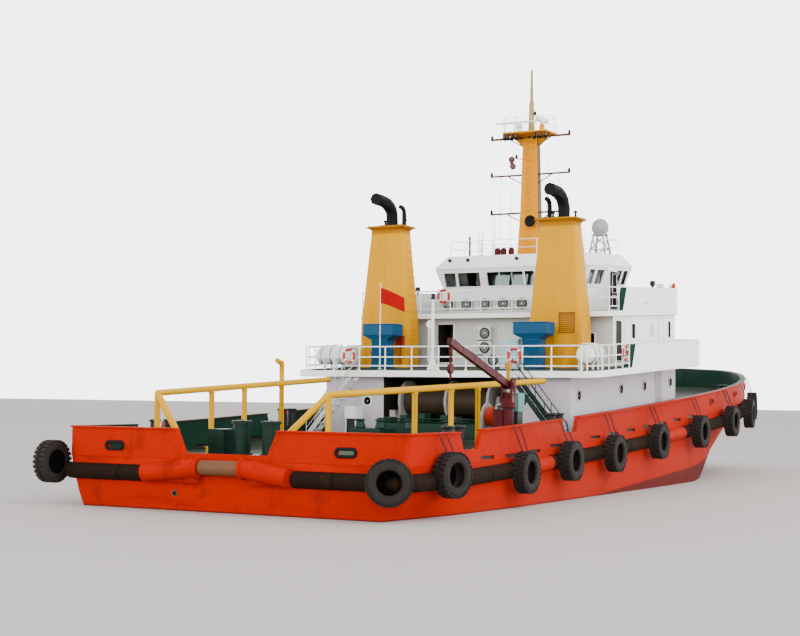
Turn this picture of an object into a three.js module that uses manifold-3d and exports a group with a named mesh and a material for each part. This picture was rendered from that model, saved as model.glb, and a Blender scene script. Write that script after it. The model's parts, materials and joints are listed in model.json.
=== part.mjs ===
// Ocean tugboat, built as a 1:2 scale model of a ship about 50 m long.
// Every size below is the real ship's, in millimetres; the group at the end halves them.
// X runs forward from the transom, Y to port, Z up from the waterline.
import * as THREE from 'three';
import { mergeVertices } from 'three/addons/utils/BufferGeometryUtils.js';
import Module from 'manifold-3d';

const wasm = await Module();
wasm.setup();

const MODEL_SCALE = 0.5;
const SEAT = 0.6;

// Driving dimensions of the hull
const LENGTH = 50000;
const HALF_BEAM = 7260;
const TRANSOM_WATER_HALF = 6350;
const CORNER_RADIUS = 450;
const BOW_START = 32000;
const WATER_STEM = 46500;
const WATER_TAPER_START = 29000;
const AFT_DECK = 1850;
const BULWARK_HEIGHT = 1050;
const BULWARK_THICK = 180;
const RAMP = { start: 9000, end: 14000 };
const GATE = { topHalf: 2300, sillHalf: 1770, sill: 2070 };
const BELT_DROP = 1600;
const BELT_RADIUS = 300;

// The stern roller's axis, radius and half length
const ROLLER = { x: -280, z: 1590, radius: 262, half: 900 - SEAT };

// Driving dimensions of the houses
const BOAT_DECK = { aft: 16040, front: 30300, half: 7540, top: 5290, thick: 300, slope: 0.055 };
const HOUSE = { aft: 16600, front: 30150, half: 6150, bayHalf: 3050, bayFront: 21600 };
const UPPER = { aft: 20950, front: 29400, half: 6380 };
const BRIDGE = { aft: 20200, front: 29450, half: 6560, top: 8060, thick: 250 };
const WHEELHOUSE = { aft: 23800, front: 29200, half: 3780, lean: 300, top: 10450, wall: 150,
  sill: 9560, head: 10280 };
const ROOF_TOP = 10600;
const PARAPET_TOP = 11110;

// Colours taken for each paint: [red, green, blue, roughness, metalness]
const PAINT = {
  orange: [0.83, 0.2, 0.07, 0.5, 0],
  rubber: [0.05, 0.045, 0.04, 0.9, 0],
  steel: [0.35, 0.25, 0.2, 0.6, 0.5],
  deckGreen: [0.24, 0.36, 0.3, 0.8, 0],
  darkGreen: [0.03, 0.12, 0.09, 0.6, 0],
  black: [0.03, 0.03, 0.03, 0.6, 0],
  yellow: [0.93, 0.66, 0.16, 0.5, 0],
  white: [0.86, 0.87, 0.85, 0.5, 0],
  grey: [0.6, 0.6, 0.58, 0.6, 0],
  blue: [0.04, 0.28, 0.48, 0.5, 0],
  maroon: [0.28, 0.05, 0.08, 0.5, 0],
  bronze: [0.6, 0.42, 0.2, 0.4, 0.8],
  red: [0.7, 0.08, 0.06, 0.7, 0],
};

const tug = new THREE.Group();
tug.scale.setScalar(MODEL_SCALE);

// Turns a closed geometry into a solid that can be joined and cut
function solid(geometry) {
  geometry.deleteAttribute('normal');
  geometry.deleteAttribute('uv');
  const merged = mergeVertices(geometry, 0.01);
  const vertProperties = new Float32Array(merged.attributes.position.array);
  const triVerts = new Uint32Array(merged.index.array);
  return new wasm.Manifold(new wasm.Mesh({ numProp: 3, vertProperties, triVerts }));
}

function join(pieces) {
  return pieces.reduce((whole, piece) => whole.add(piece));
}

// Adds one named sub-part to the ship
function addPart(name, body, paint) {
  const mesh = body.getMesh();
  const geometry = new THREE.BufferGeometry();
  geometry.setAttribute('position', new THREE.BufferAttribute(mesh.vertProperties, 3));
  geometry.setIndex(new THREE.BufferAttribute(mesh.triVerts, 1));
  geometry.computeVertexNormals();
  const [red, green, blue, roughness, metalness] = PAINT[paint];
  const color = new THREE.Color(red, green, blue);
  const part = new THREE.Mesh(geometry, new THREE.MeshStandardMaterial({ color, roughness, metalness }));
  part.name = name;
  tug.add(part);
  return body;
}

// A plain box between two corners
function block(x0, x1, y0, y1, z0, z1) {
  const geometry = new THREE.BoxGeometry(x1 - x0, y1 - y0, z1 - z0);
  geometry.translate((x0 + x1) / 2, (y0 + y1) / 2, (z0 + z1) / 2);
  return solid(geometry);
}

// A round bar or cone between two points
function rod(from, to, radius, endRadius = radius, sides = 12) {
  const a = new THREE.Vector3(...from);
  const b = new THREE.Vector3(...to);
  const along = b.clone().sub(a);
  const geometry = new THREE.CylinderGeometry(endRadius, radius, along.length(), sides);
  const turn = new THREE.Quaternion().setFromUnitVectors(new THREE.Vector3(0, 1, 0), along.normalize());
  geometry.applyQuaternion(turn);
  const middle = a.add(b).multiplyScalar(0.5);
  geometry.translate(middle.x, middle.y, middle.z);
  return solid(geometry);
}

// A run of round bars through a list of points, with a ball at each bend
function piping(points, radius, sides = 8) {
  const pieces = [];
  for (let i = 1; i < points.length; i += 1) {
    pieces.push(rod(points[i - 1], points[i], radius, radius, sides));
    if (i < points.length - 1) {
      const ball = new THREE.SphereGeometry(radius * 1.02, sides, sides / 2);
      ball.translate(...points[i]);
      pieces.push(solid(ball));
    }
  }
  return join(pieces);
}

// An outline pulled along one axis; the outline's points are [X, Z], [Y, Z] or [X, Y]
function prism(axis, outline, from, to) {
  const shape = new THREE.Shape(outline.map(([u, v]) => new THREE.Vector2(u, v)));
  const geometry = new THREE.ExtrudeGeometry(shape,
    { depth: to - from, bevelEnabled: false, curveSegments: 8 });
  if (axis === 'x') {
    geometry.applyMatrix4(new THREE.Matrix4().makeBasis(
      new THREE.Vector3(0, 1, 0), new THREE.Vector3(0, 0, 1), new THREE.Vector3(1, 0, 0)));
    geometry.translate(from, 0, 0);
  } else if (axis === 'y') {
    geometry.rotateX(Math.PI / 2);
    geometry.translate(0, to, 0);
  } else {
    geometry.translate(0, 0, from);
  }
  return solid(geometry);
}

// Rings of points with the same count, skinned side by side and closed at both ends
function skin(rings) {
  const count = rings[0].length;
  const positions = rings.flat().flatMap((point) => [point.x, point.y, point.z]);
  const index = [];
  for (let i = 0; i < rings.length - 1; i += 1) {
    for (let j = 0; j < count; j += 1) {
      const k = (j + 1) % count;
      const [a, b, c, d] = [i * count + j, i * count + k, (i + 1) * count + k, (i + 1) * count + j];
      // The second half of a ring is split the other way, so that a mirrored ring gives a mirrored skin
      index.push(...(j < count / 2 ? [a, b, c, a, c, d] : [a, b, d, b, c, d]));
    }
  }
  [[0, true], [rings.length - 1, false]].forEach(([ring, first]) => {
    const centre = rings[ring].reduce((sum, p) => sum.add(p), new THREE.Vector3()).divideScalar(count);
    positions.push(centre.x, centre.y, centre.z);
    const hub = positions.length / 3 - 1;
    for (let j = 0; j < count; j += 1) {
      const [a, b] = [ring * count + j, ring * count + ((j + 1) % count)];
      index.push(...(first ? [b, a, hub] : [a, b, hub]));
    }
  });
  const geometry = new THREE.BufferGeometry();
  geometry.setAttribute('position', new THREE.BufferAttribute(new Float32Array(positions), 3));
  geometry.setIndex(index);
  const merged = mergeVertices(geometry, 0.01);
  const triVerts = new Uint32Array(merged.index.array);
  const vertProperties = new Float32Array(merged.attributes.position.array);
  if (signedVolume(vertProperties, triVerts) < 0) {
    for (let t = 0; t < triVerts.length; t += 3) {
      [triVerts[t], triVerts[t + 1]] = [triVerts[t + 1], triVerts[t]];
    }
  }
  return new wasm.Manifold(new wasm.Mesh({ numProp: 3, vertProperties, triVerts }));
}

function signedVolume(points, triangles) {
  let total = 0;
  const corner = (i) => new THREE.Vector3(points[i * 3], points[i * 3 + 1], points[i * 3 + 2]);
  for (let t = 0; t < triangles.length; t += 3) {
    total += corner(triangles[t]).dot(corner(triangles[t + 1]).cross(corner(triangles[t + 2])));
  }
  return total / 6;
}

function mirror(body) {
  return body.mirror([0, 1, 0]);
}

// Cuts a piece's underside to the surface that it stands on, with the seat's gap
function seatOn(piece, base) {
  return piece.subtract(base.translate([0, 0, SEAT]));
}

function tableValue(table, x) {
  const i = Math.max(1, table.findIndex(([station]) => station >= x));
  const [[x0, v0], [x1, v1]] = [table[i - 1], table[i]];
  return v0 + ((v1 - v0) * (x - x0)) / (x1 - x0);
}

// Hull lines
function railHeight(x) {
  const run = Math.max(0, x - 4000) / 1000;
  return 2890 + 33 * run + 0.72 * run * run;
}

function deckHeight(x) {
  const rampEnd = railHeight(RAMP.end) - BULWARK_HEIGHT;
  if (x <= RAMP.start) return AFT_DECK;
  if (x >= RAMP.end) return railHeight(x) - BULWARK_HEIGHT;
  return AFT_DECK + ((rampEnd - AFT_DECK) * (x - RAMP.start)) / (RAMP.end - RAMP.start);
}

function deckHalf(x) {
  if (x < CORNER_RADIUS) {
    return HALF_BEAM - CORNER_RADIUS + Math.sqrt(CORNER_RADIUS ** 2 - (CORNER_RADIUS - x) ** 2);
  }
  if (x <= BOW_START) return HALF_BEAM;
  const t = Math.min(1, (x - BOW_START) / (LENGTH - BOW_START));
  return HALF_BEAM * Math.sqrt(Math.max(0, 1 - t ** 2.2));
}

function waterHalf(x) {
  if (x < 6000) return TRANSOM_WATER_HALF + ((HALF_BEAM - 60 - TRANSOM_WATER_HALF) * x) / 6000;
  if (x <= WATER_TAPER_START) return HALF_BEAM - 60;
  if (x >= WATER_STEM) return 0;
  return (HALF_BEAM - 60) * (1 - ((x - WATER_TAPER_START) / (WATER_STEM - WATER_TAPER_START)) ** 1.5);
}

// Height of the keel line: [distance from the transom, height]
const KEEL = [
  [0, -900], [4000, -1500], [9000, -2800], [14000, -4400], [39000, -4400], [42500, -3900],
  [45000, -2600], [46500, -600], [48000, 1600], [49300, 3400], [LENGTH, 4250],
];

function halfBreadth(x, z) {
  const keel = tableValue(KEEL, x);
  const deck = deckHeight(x);
  const wide = deckHalf(x);
  const water = waterHalf(x);
  if (water === 0) return wide * ((z - keel) / (deck - keel)) ** 0.75;
  if (z >= 0) return water + (wide - water) * (z / deck) ** (x < 10000 ? 0.6 : 0.95);
  const fullness = x > WATER_TAPER_START ? 2.2 : 4;
  return water * (1 - (z / keel) ** fullness) ** (1 / fullness);
}

const STATIONS = [0, 60, 225, 450, 4000, 9000, 14000, 19500, 25000, 30000, 33500, 36500, 39500, 42500,
  45000, 46500, 47700, 48700, 49500, LENGTH];
const HEIGHT_STEPS = [0, 0.05, 0.16, 0.34, 0.54, 0.72, 0.86, 1];

function hullRing(x) {
  const keel = tableValue(KEEL, x);
  const deck = deckHeight(x);
  const side = HEIGHT_STEPS.map((t) => {
    const z = keel + t * (deck - keel);
    return [Math.max(halfBreadth(x, z), 60), z];
  });
  const port = side.map(([y, z]) => new THREE.Vector3(x, y, z));
  const starboard = side.map(([y, z]) => new THREE.Vector3(x, -y, z)).reverse();
  return [...port, ...starboard];
}

function buildHull() {
  const shell = skin(STATIONS.map(hullRing));
  const skeg = prism('y', [[2600, -1000], [15500, -3000], [15500, -4380], [4200, -4250], [2600, -3600]],
    -260, 260);
  // Cone-shaped fairings that carry the stern roller; the port one is longer
  const { x, z } = ROLLER;
  const fairing = (end) => join([
    rod([x, 1460, z - 40], [x, end, z - 260], 360, 330, 16),
    rod([x, 920, z], [x, 1500, z - 40], 300, 360, 16),
    rod([x, 900, z], [x, 990, z], 370, 370, 16),
    block(x, 60, 1050, end, z - 550, z),
  ]).subtract(block(-SEAT, 400, 0, 4000, AFT_DECK, 2600));
  const stemBar = prism('y', [[45200, -2400], [46800, -400], [49700, 3850], [49500, 4000], [45600, -400]],
    -90, 90);
  return join([shell, skeg, stemBar, fairing(3350), mirror(fairing(2850))]);
}

const hull = addPart('hull', buildHull(), 'orange');

// The ship's outline seen from above, from the stern gate to the bow, with the outward direction
function sideOutline(start, end) {
  const corner = [];
  const corners = 4;
  for (let i = 0; i <= corners; i += 1) {
    const angle = (i / corners) * (Math.PI / 2);
    const reach = HALF_BEAM - CORNER_RADIUS;
    corner.push([CORNER_RADIUS * (1 - Math.cos(angle)), reach + CORNER_RADIUS * Math.sin(angle)]);
  }
  const along = STATIONS.filter((x) => x > CORNER_RADIUS).map((x) => [x, deckHalf(x)]);
  return [...corner, ...along].filter(([x]) => x >= start && x <= end);
}

function withNormals(points) {
  return points.map(([x, y], i) => {
    const [x0, y0] = points[Math.max(0, i - 1)];
    const [x1, y1] = points[Math.min(points.length - 1, i + 1)];
    const length = Math.hypot(x1 - x0, y1 - y0);
    return { x, y, out: [-(y1 - y0) / length, (x1 - x0) / length] };
  });
}

// A section carried along an outline: each point is [distance outwards, height as a function of X]
function sweep(path, section) {
  return skin(path.map(({ x, y, out }) => section.map(([away, height]) => {
    const pointX = x + out[0] * away;
    return new THREE.Vector3(pointX, y + out[1] * away, height(pointX));
  })));
}

// The deck as built: flat plates between the stations
const DECK_PLATES = STATIONS.map((x) => [x, deckHeight(x)]);

function plateHeight(x) {
  return tableValue(DECK_PLATES, Math.min(Math.max(x, 0), LENGTH));
}

function buildBulwark() {
  const half = [[0, GATE.sillHalf - 500], ...sideOutline(0, LENGTH)];
  const outline = withNormals(half.filter(([, y], i) => i < half.length - 1 || y > 0));
  outline[0].out = [-1, 0];
  outline[outline.length - 1] = { x: LENGTH, y: 0, out: [1, 0] };
  const foot = (x) => plateHeight(x) + SEAT;
  const cap = (x) => railHeight(x) + 60;
  const port = sweep(outline, [[0, foot], [0, railHeight], [70, railHeight], [70, cap],
    [-BULWARK_THICK - 60, cap], [-BULWARK_THICK - 60, railHeight], [-BULWARK_THICK, railHeight],
    [-BULWARK_THICK, foot]]);
  let ring = port.add(mirror(port));
  const sill = block(0, BULWARK_THICK, -GATE.topHalf, GATE.topHalf, foot(0), GATE.sill);
  const gate = prism('x', [[-GATE.sillHalf, GATE.sill], [GATE.sillHalf, GATE.sill], [GATE.topHalf, 3200],
    [-GATE.topHalf, 3200]], -200, 400);
  ring = ring.add(sill).subtract(gate);
  // Notches for the bitts: [middle, bottom half length, top half length, bottom height]
  const notches = [[4840, 550, 1120, 2300], [13950, 580, 1000, 2760]];
  notches.forEach(([middle, low, high, bottom]) => {
    const top = railHeight(middle) + 400;
    const cut = prism('y', [[middle - low, bottom], [middle + low, bottom], [middle + high, top],
      [middle - high, top]], -8000, 8000);
    ring = ring.subtract(cut);
  });
  // Oblong fairleads through the transom bulwark
  [-1, 1].forEach((side) => {
    const middle = side * 4960;
    ring = ring.subtract(join([
      block(-500, 500, middle - 260, middle + 260, 2140, 2380),
      rod([-500, middle - 260, 2260], [500, middle - 260, 2260], 120, 120, 10),
      rod([-500, middle + 260, 2260], [500, middle + 260, 2260], 120, 120, 10),
    ]));
  });
  // Freeing ports low along the sides
  const firstPort = 6200;
  const portPitch = 2100;
  for (let x = firstPort; x < 31000; x += portPitch) {
    const bottom = deckHeight(x) + 60;
    const clear = Math.abs(x - 13950) > 900;
    if (clear) ring = ring.subtract(block(x - 560, x + 560, -8000, 8000, bottom, bottom + 130));
  }
  return ring;
}

addPart('bulwark', buildBulwark(), 'orange');

// The hull grown by the seat's gap at the sides and ends, used to trim what lies against it
const hullSkin = hull.scale([1 + (2 * SEAT) / LENGTH, 1 + SEAT / HALF_BEAM, 1]).translate([-SEAT, 0, 0]);

// Rubber belt and hanging tyres: tyre stations are distances from the transom along one side
const TYRE = { outer: 800, inner: 400, width: 520 };
// Each tyre's [distance from the transom, height above the belt's middle]
const SIDE_TYRES = [[2450, 220], [8550, -100], [12900, 0], [17750, -80], [23300, -20], [29300, -60],
  [34600, 0], [39300, -20], [44700, -120]];

function tyre(sides = 13) {
  const half = TYRE.width / 2;
  const profile = [[TYRE.inner, -half * 0.75], [TYRE.outer - 130, -half], [TYRE.outer, -half * 0.72],
    [TYRE.outer, half * 0.72], [TYRE.outer - 130, half], [TYRE.inner, half * 0.75]];
  const ring = [...profile, profile[0]].map(([r, h]) => new THREE.Vector2(r, h));
  return new THREE.LatheGeometry(ring, sides);
}

// Hangs a tyre flat against the side, facing along the outward direction
function hungTyre(x, y, z, out) {
  const geometry = tyre();
  const turn = new THREE.Quaternion().setFromUnitVectors(new THREE.Vector3(0, 1, 0),
    new THREE.Vector3(out[0], out[1], 0).normalize());
  geometry.applyQuaternion(turn);
  geometry.translate(x, y, z);
  return solid(geometry);
}

function outwardAt(x) {
  const step = 60;
  const slope = (deckHalf(x + step) - deckHalf(x - step)) / (2 * step);
  const length = Math.hypot(1, slope);
  return [-slope / length, 1 / length];
}

function buildFenders() {
  const outline = withNormals([[0, 3420], ...sideOutline(0, 48700)]);
  outline[0].out = [-1, 0];
  const steps = 4;
  const level = (rise) => (x) => railHeight(x) - BELT_DROP + rise;
  const arc = [];
  for (let i = 0; i <= steps; i += 1) {
    const angle = -Math.PI / 2 + (i / steps) * Math.PI;
    arc.push([BELT_RADIUS * Math.cos(angle) * 1.05, level(BELT_RADIUS * Math.sin(angle))]);
  }
  const belt = sweep(outline, [...arc, [-500, level(BELT_RADIUS)], [-500, level(-BELT_RADIUS)]]);
  const away = BELT_RADIUS + TYRE.width / 2 - 60;
  const tyres = SIDE_TYRES.map(([x, rise]) => {
    const out = outwardAt(x);
    const z = railHeight(x) - BELT_DROP + rise;
    return hungTyre(x + out[0] * away, deckHalf(x) + out[1] * away, z, out);
  });
  return join([belt.subtract(hullSkin), ...tyres]);
}

// The tyre at the port corner faces abeam, and the one at the starboard corner faces the quarter
const fenders = buildFenders();
addPart('fenders_port', fenders.add(hungTyre(-280, 7700, 1600, [0, 1])), 'rubber');
addPart('fenders_starboard', mirror(fenders.add(hungTyre(-450, 6900, 1340, [-0.87, 0.49]))), 'rubber');

// Stern roller between the two fairings
function buildRoller() {
  const { x, z, radius, half } = ROLLER;
  return join([
    rod([x, -half, z], [x, half, z], 90, 90, 24),
    rod([x, -half + 60, z], [x, half - 60, z], radius, radius, 24),
  ]);
}

addPart('stern_roller', buildRoller(), 'steel');

// Working deck: sheathing, guide posts, cargo rails, bitts
addPart('work_deck', seatOn(block(3200, 8900, -3400, 3400, AFT_DECK - 20, AFT_DECK + 70), hull), 'deckGreen');

function buildTowPins() {
  const pins = join([
    block(1500, 2700, -1150, 2100, AFT_DECK - 20, AFT_DECK + 140),
    rod([2050, -560, AFT_DECK + 100], [2050, -560, 3180], 330, 330, 16),
    rod([2050, -560, 3120], [2050, -560, 3200], 390, 390, 16),
    rod([2050, 720, AFT_DECK + 100], [2050, 720, 3180], 330, 330, 16),
    rod([2050, 720, 3120], [2050, 720, 3200], 390, 390, 16),
    block(1650, 2500, 1250, 1950, AFT_DECK + 100, 2900),
  ]);
  return seatOn(pins, hull);
}

addPart('tow_pins', buildTowPins(), 'darkGreen');

// Each cargo rail starts at a foot beside the gate, bends at its after corner and climbs forward
const CARGO_RAIL = { radius: 120, post: 110,
  foot: [380, 2480, 2900], aft: [870, 3710, 4200], front: [15500, 5350, 4850] };

function buildCargoRail(stations) {
  const { radius, post, aft, front, foot } = CARGO_RAIL;
  const posts = [aft, ...stations.map((x) => {
    const t = (x - aft[0]) / (front[0] - aft[0]);
    return [x, aft[1] + t * (front[1] - aft[1]), aft[2] + t * (front[2] - aft[2])];
  })];
  return join([
    piping([[foot[0], foot[1], AFT_DECK - 20], foot, aft, front], radius, 8),
    ...posts.map(([x, y, z]) => rod([x, y, AFT_DECK - 20], [x, y, z], post, post, 8)),
    ...posts.map(([x, y]) => block(x - 170, x + 170, y - 170, y + 170, AFT_DECK - 20, AFT_DECK + 40)),
  ]);
}

addPart('cargo_rail_starboard', seatOn(mirror(buildCargoRail([6060, 8500, 10400])), hull), 'yellow');
// The last post of the port rail is a tall stop post with a bent top
const stopPost = piping([[10860, 4830, 4600], [10860, 4830, 5500], [10460, 4830, 5620]], CARGO_RAIL.post, 8);
addPart('cargo_rail_port', seatOn(buildCargoRail([4870, 7550, 10860]).add(stopPost), hull), 'yellow');

// Double bitts: [name, distance from the transom, distance between the posts]
[['bitts_aft', 4840, 900], ['bitts_mid', 13950, 760]].forEach(([name, x, spread]) => {
  const floor = deckHeight(x);
  const y = HALF_BEAM - 700;
  const posts = [-1, 1].flatMap((end) => [
    rod([x + (end * spread) / 2, y, floor - 300], [x + (end * spread) / 2, y, floor + 1260], 190, 190, 10),
    rod([x + (end * spread) / 2, y, floor + 1200], [x + (end * spread) / 2, y, floor + 1290], 240, 240, 10),
  ]);
  const foot = block(x - spread / 2 - 330, x + spread / 2 + 330, y - 300, y + 300, floor - 300, floor + 130);
  const pair = seatOn(join([foot, ...posts]), hull);
  addPart(`${name}_port`, pair, 'black');
  addPart(`${name}_starboard`, mirror(pair), 'black');
});

// Main deckhouse with its winch bay, under the boat deck
function boatDeckTop(x) {
  return BOAT_DECK.top + (x - BOAT_DECK.aft) * BOAT_DECK.slope;
}

function buildMainHouse() {
  const ceiling = (x) => boatDeckTop(x) - BOAT_DECK.thick - SEAT;
  const outline = [[HOUSE.aft, 500], [HOUSE.front, 500], [HOUSE.front, ceiling(HOUSE.front)],
    [HOUSE.aft, ceiling(HOUSE.aft)]];
  const house = prism('y', outline, -HOUSE.half, HOUSE.half);
  const bay = block(HOUSE.aft - 500, HOUSE.bayFront, -HOUSE.bayHalf, HOUSE.bayHalf, 0, 8000);
  return seatOn(house.subtract(bay), hull);
}

addPart('main_deckhouse', buildMainHouse(), 'white');

function roundedPlate(x0, x1, half, radius, inset = 0) {
  const shape = new THREE.Shape();
  const [a, b, h, r] = [x0 + inset, x1 - inset, half - inset, Math.max(radius - inset, 60)];
  shape.moveTo(a, -h + r);
  shape.lineTo(a, h - r);
  shape.absarc(a + r, h - r, r, Math.PI, Math.PI / 2, true);
  shape.lineTo(b - r, h);
  shape.absarc(b - r, h - r, r, Math.PI / 2, 0, true);
  shape.lineTo(b, -h + r);
  shape.absarc(b - r, -h + r, r, 0, -Math.PI / 2, true);
  shape.lineTo(a + r, -h);
  shape.absarc(a + r, -h + r, r, -Math.PI / 2, -Math.PI, true);
  return shape;
}

function plate(shape, z0, z1) {
  const geometry = new THREE.ExtrudeGeometry(shape,
    { depth: z1 - z0, bevelEnabled: false, curveSegments: 3 });
  geometry.translate(0, 0, z0);
  return solid(geometry);
}

// The decks and houses rise forward together: heights stay as given at one distance from the transom
function raked(body, from) {
  const { slope } = BOAT_DECK;
  return body.transform([1, 0, slope, 0, 0, 1, 0, 0, 0, 0, 1, 0, 0, 0, -from * slope, 1]);
}

function buildBoatDeck() {
  const { aft, front, half, top, thick } = BOAT_DECK;
  const wallTop = top + 1040;
  const slab = plate(roundedPlate(aft, front, half, 700), top - thick, top);
  const wall = plate(roundedPlate(aft, front, half, 700), top - 10, wallTop)
    .subtract(plate(roundedPlate(aft, front, half, 700, 110), top - 20, wallTop + 10));
  // The solid bulwark starts on a slanted edge amidships and runs round the front
  const keep = prism('y', [[20300, top - 50], [front + 100, top - 50], [front + 100, wallTop + 50],
    [20750, wallTop + 50]], -8000, 8000);
  const deck = join([slab, wall.intersect(keep)]);
  return raked(deck, aft);
}

const boatDeck = addPart('boat_deck', buildBoatDeck(), 'white');

// Railings of the boat deck: two straight sides and one across the stern end
const RAIL = { height: 1070, bars: [200, 600], radius: 28, post: 32 };

function railing(points, pitchCounts) {
  const pieces = [];
  for (let i = 1; i < points.length; i += 1) {
    const [a, b] = [points[i - 1], points[i]];
    [...RAIL.bars, RAIL.height].forEach((h) => {
      pieces.push(rod([a[0], a[1], a[2] + h], [b[0], b[1], b[2] + h], RAIL.radius, RAIL.radius, 4));
    });
    const count = pitchCounts[i - 1];
    for (let k = i === 1 ? 0 : 1; k <= count; k += 1) {
      const t = k / count;
      const foot = a.map((value, axis) => value + t * (b[axis] - value));
      pieces.push(rod([foot[0], foot[1], foot[2] - 60], [foot[0], foot[1], foot[2] + RAIL.height + 20],
        RAIL.post, RAIL.post, 4));
    }
  }
  return join(pieces);
}

const RAIL_INSET = 90;
const railX = BOAT_DECK.aft + RAIL_INSET;
const railY = BOAT_DECK.half - RAIL_INSET;
const railZ = boatDeckTop(railX);
const aftRail = railing([[railX, -railY + 640, railZ], [railX, railY - 640, railZ]], [10]);
addPart('boat_deck_rail_aft', seatOn(aftRail, boatDeck), 'white');
const sideRail = railing([[railX + 120, railY - 420, boatDeckTop(railX + 120)],
  [railX + 760, railY, boatDeckTop(railX + 760)], [20150, railY, boatDeckTop(20150)]], [1, 4]);
addPart('boat_deck_rail_port', seatOn(sideRail, boatDeck), 'white');
addPart('boat_deck_rail_starboard', seatOn(mirror(sideRail), boatDeck), 'white');

// A tapering box trunk: rings of [height, aft, front, left, right], with rounded upright edges
function taper(levels, round = 0) {
  const arcs = round ? [0, 1, 2, 3] : [0];
  return skin(levels.map(([z, x0, x1, y0, y1]) => {
    const corners = [[x0 + round, y0 + round, 180], [x1 - round, y0 + round, 270],
      [x1 - round, y1 - round, 0], [x0 + round, y1 - round, 90]];
    return corners.flatMap(([x, y, start]) => arcs.map((step) => {
      const angle = ((start + step * 30) * Math.PI) / 180;
      return new THREE.Vector3(x + round * Math.cos(angle), y + round * Math.sin(angle), z);
    }));
  }));
}

// Funnels, exhaust pipes and ventilators
const FUNNEL = { x: 19500, y: 4400, shoulder: 7400, neck: 11900, top: 12230 };

function buildFunnel() {
  const { x, y, shoulder, neck, top } = FUNNEL;
  const half = (height, long, wide) => [height, x - long, x + long, y - wide, y + wide];
  const casing = taper([half(5300, 700, 1260), half(shoulder, 690, 1260), half(neck, 480, 860),
    half(neck + 130, 480, 860), half(top - 90, 620, 1010), half(top, 620, 1010)], 160);
  return seatOn(casing, boatDeck);
}

const funnel = buildFunnel();
addPart('funnel_port', funnel, 'yellow');
addPart('funnel_starboard', mirror(funnel), 'yellow');

function buildExhaust() {
  const { x, y, top } = FUNNEL;
  const foot = top + SEAT;
  // The main pipe rises and bends aft: [distance aft, height]
  const route = [[-220, 0], [-220, 420], [-120, 780], [250, 1040], [730, 1150], [1400, 1180]];
  const bend = new THREE.CatmullRomCurve3(
    route.map(([back, up]) => new THREE.Vector3(x - back, y + 60, foot + up)));
  const outline = new THREE.Shape().absarc(0, 0, 290, 0, Math.PI * 2);
  const main = solid(new THREE.ExtrudeGeometry(outline,
    { steps: 9, extrudePath: bend, bevelEnabled: false, curveSegments: 4 }));
  const small = rod([x + 180, y - 620, foot], [x + 180, y - 620, foot + 620], 110, 110, 10);
  const base = block(x - 320, x + 420, y - 760, y + 420, foot, foot + 60);
  return join([main, small, base]).subtract(block(x - 3000, x + 3000, y - 3000, y + 3000, foot - 3000, foot));
}

const exhaust = buildExhaust();
addPart('exhaust_port', exhaust, 'black');
addPart('exhaust_starboard', mirror(exhaust), 'black');

function buildVent() {
  const [x, y] = [17850, 3850];
  return seatOn(join([
    block(x - 330, x + 330, y - 420, y + 420, 5300, 6900),
    taper([[6730, x - 330, x + 330, y - 420, y + 420], [6940, x - 480, x + 480, y - 800, y + 800],
      [7480, x - 480, x + 480, y - 800, y + 800]]),
  ]), boatDeck);
}

const vent = buildVent();
addPart('ventilator_port', vent, 'blue');
addPart('ventilator_starboard', mirror(vent), 'blue');

// Upper deckhouse with its doorway, and the door standing open
const DOOR = { y0: 1750, y1: 2550, z0: 5760, z1: 7560 };
const HINGE = { radius: 36, reach: 60, length: 220, lug: 80, strap: 20, leaf: 25 };

// Heights at which a door's two hinge knuckles stand
function knuckleFeet(low, high) {
  return [low + 200, high - 200 - HINGE.length];
}

// The moving half of a door that hangs on a pin: knuckles, straps and a leaf running aft from the pin
function hangingDoor([x, y], low, high, width) {
  const { radius, reach, length, strap, leaf } = HINGE;
  return join([
    block(x - reach - width, x - reach, y - leaf, y + leaf, low, high),
    ...knuckleFeet(low, high).flatMap((z) => [
      rod([x, y, z], [x, y, z + length], radius, radius, 12),
      block(x - reach - 30, x, y - strap, y + strap, z + 20, z + length - 20),
    ]),
  ]);
}

// The fixed lugs below a door's knuckles; toWall is the direction from the pin to the wall
function hingeLugs([x, y], low, high, toWall, distance) {
  const { lug } = HINGE;
  return join(knuckleFeet(low, high).map((z) => {
    const [u, v] = toWall;
    const x0 = Math.min(x - 26, x - 26 * Math.abs(u), x + u * distance);
    const x1 = Math.max(x + 26, x + 26 * Math.abs(u), x + u * distance);
    const y0 = Math.min(y - 26, y + v * distance);
    const y1 = Math.max(y + 26, y + v * distance);
    return block(x0, x1, y0, y1, z - lug, z - SEAT);
  }));
}

function bridgeTop(x) {
  return BRIDGE.top + (x - BRIDGE.aft) * BOAT_DECK.slope;
}

function buildUpperHouse() {
  const { aft, front, half } = UPPER;
  const ceiling = (x) => bridgeTop(x) - BRIDGE.thick - SEAT;
  const house = prism('y', [[aft, boatDeckTop(aft) - 100], [front, boatDeckTop(front) - 100],
    [front, ceiling(front)], [aft, ceiling(aft)]], -half, half);
  const way = block(aft - 200, aft + 1300, DOOR.y0, DOOR.y1, DOOR.z0, DOOR.z1);
  const lugs = hingeLugs(DOOR_PIN, DOOR.z0, DOOR.z1, [1, 0], aft - DOOR_PIN[0] + 20);
  return seatOn(house.subtract(way), boatDeck).add(lugs);
}

// The leaf hangs on a pin beside the doorway's port edge
const DOOR_PIN = [UPPER.aft - 60, DOOR.y1 + 50];

addPart('upper_deckhouse', buildUpperHouse(), 'white');
addPart('upper_door', hangingDoor(DOOR_PIN, DOOR.z0, DOOR.z1, DOOR.y1 - DOOR.y0), 'white');

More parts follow.
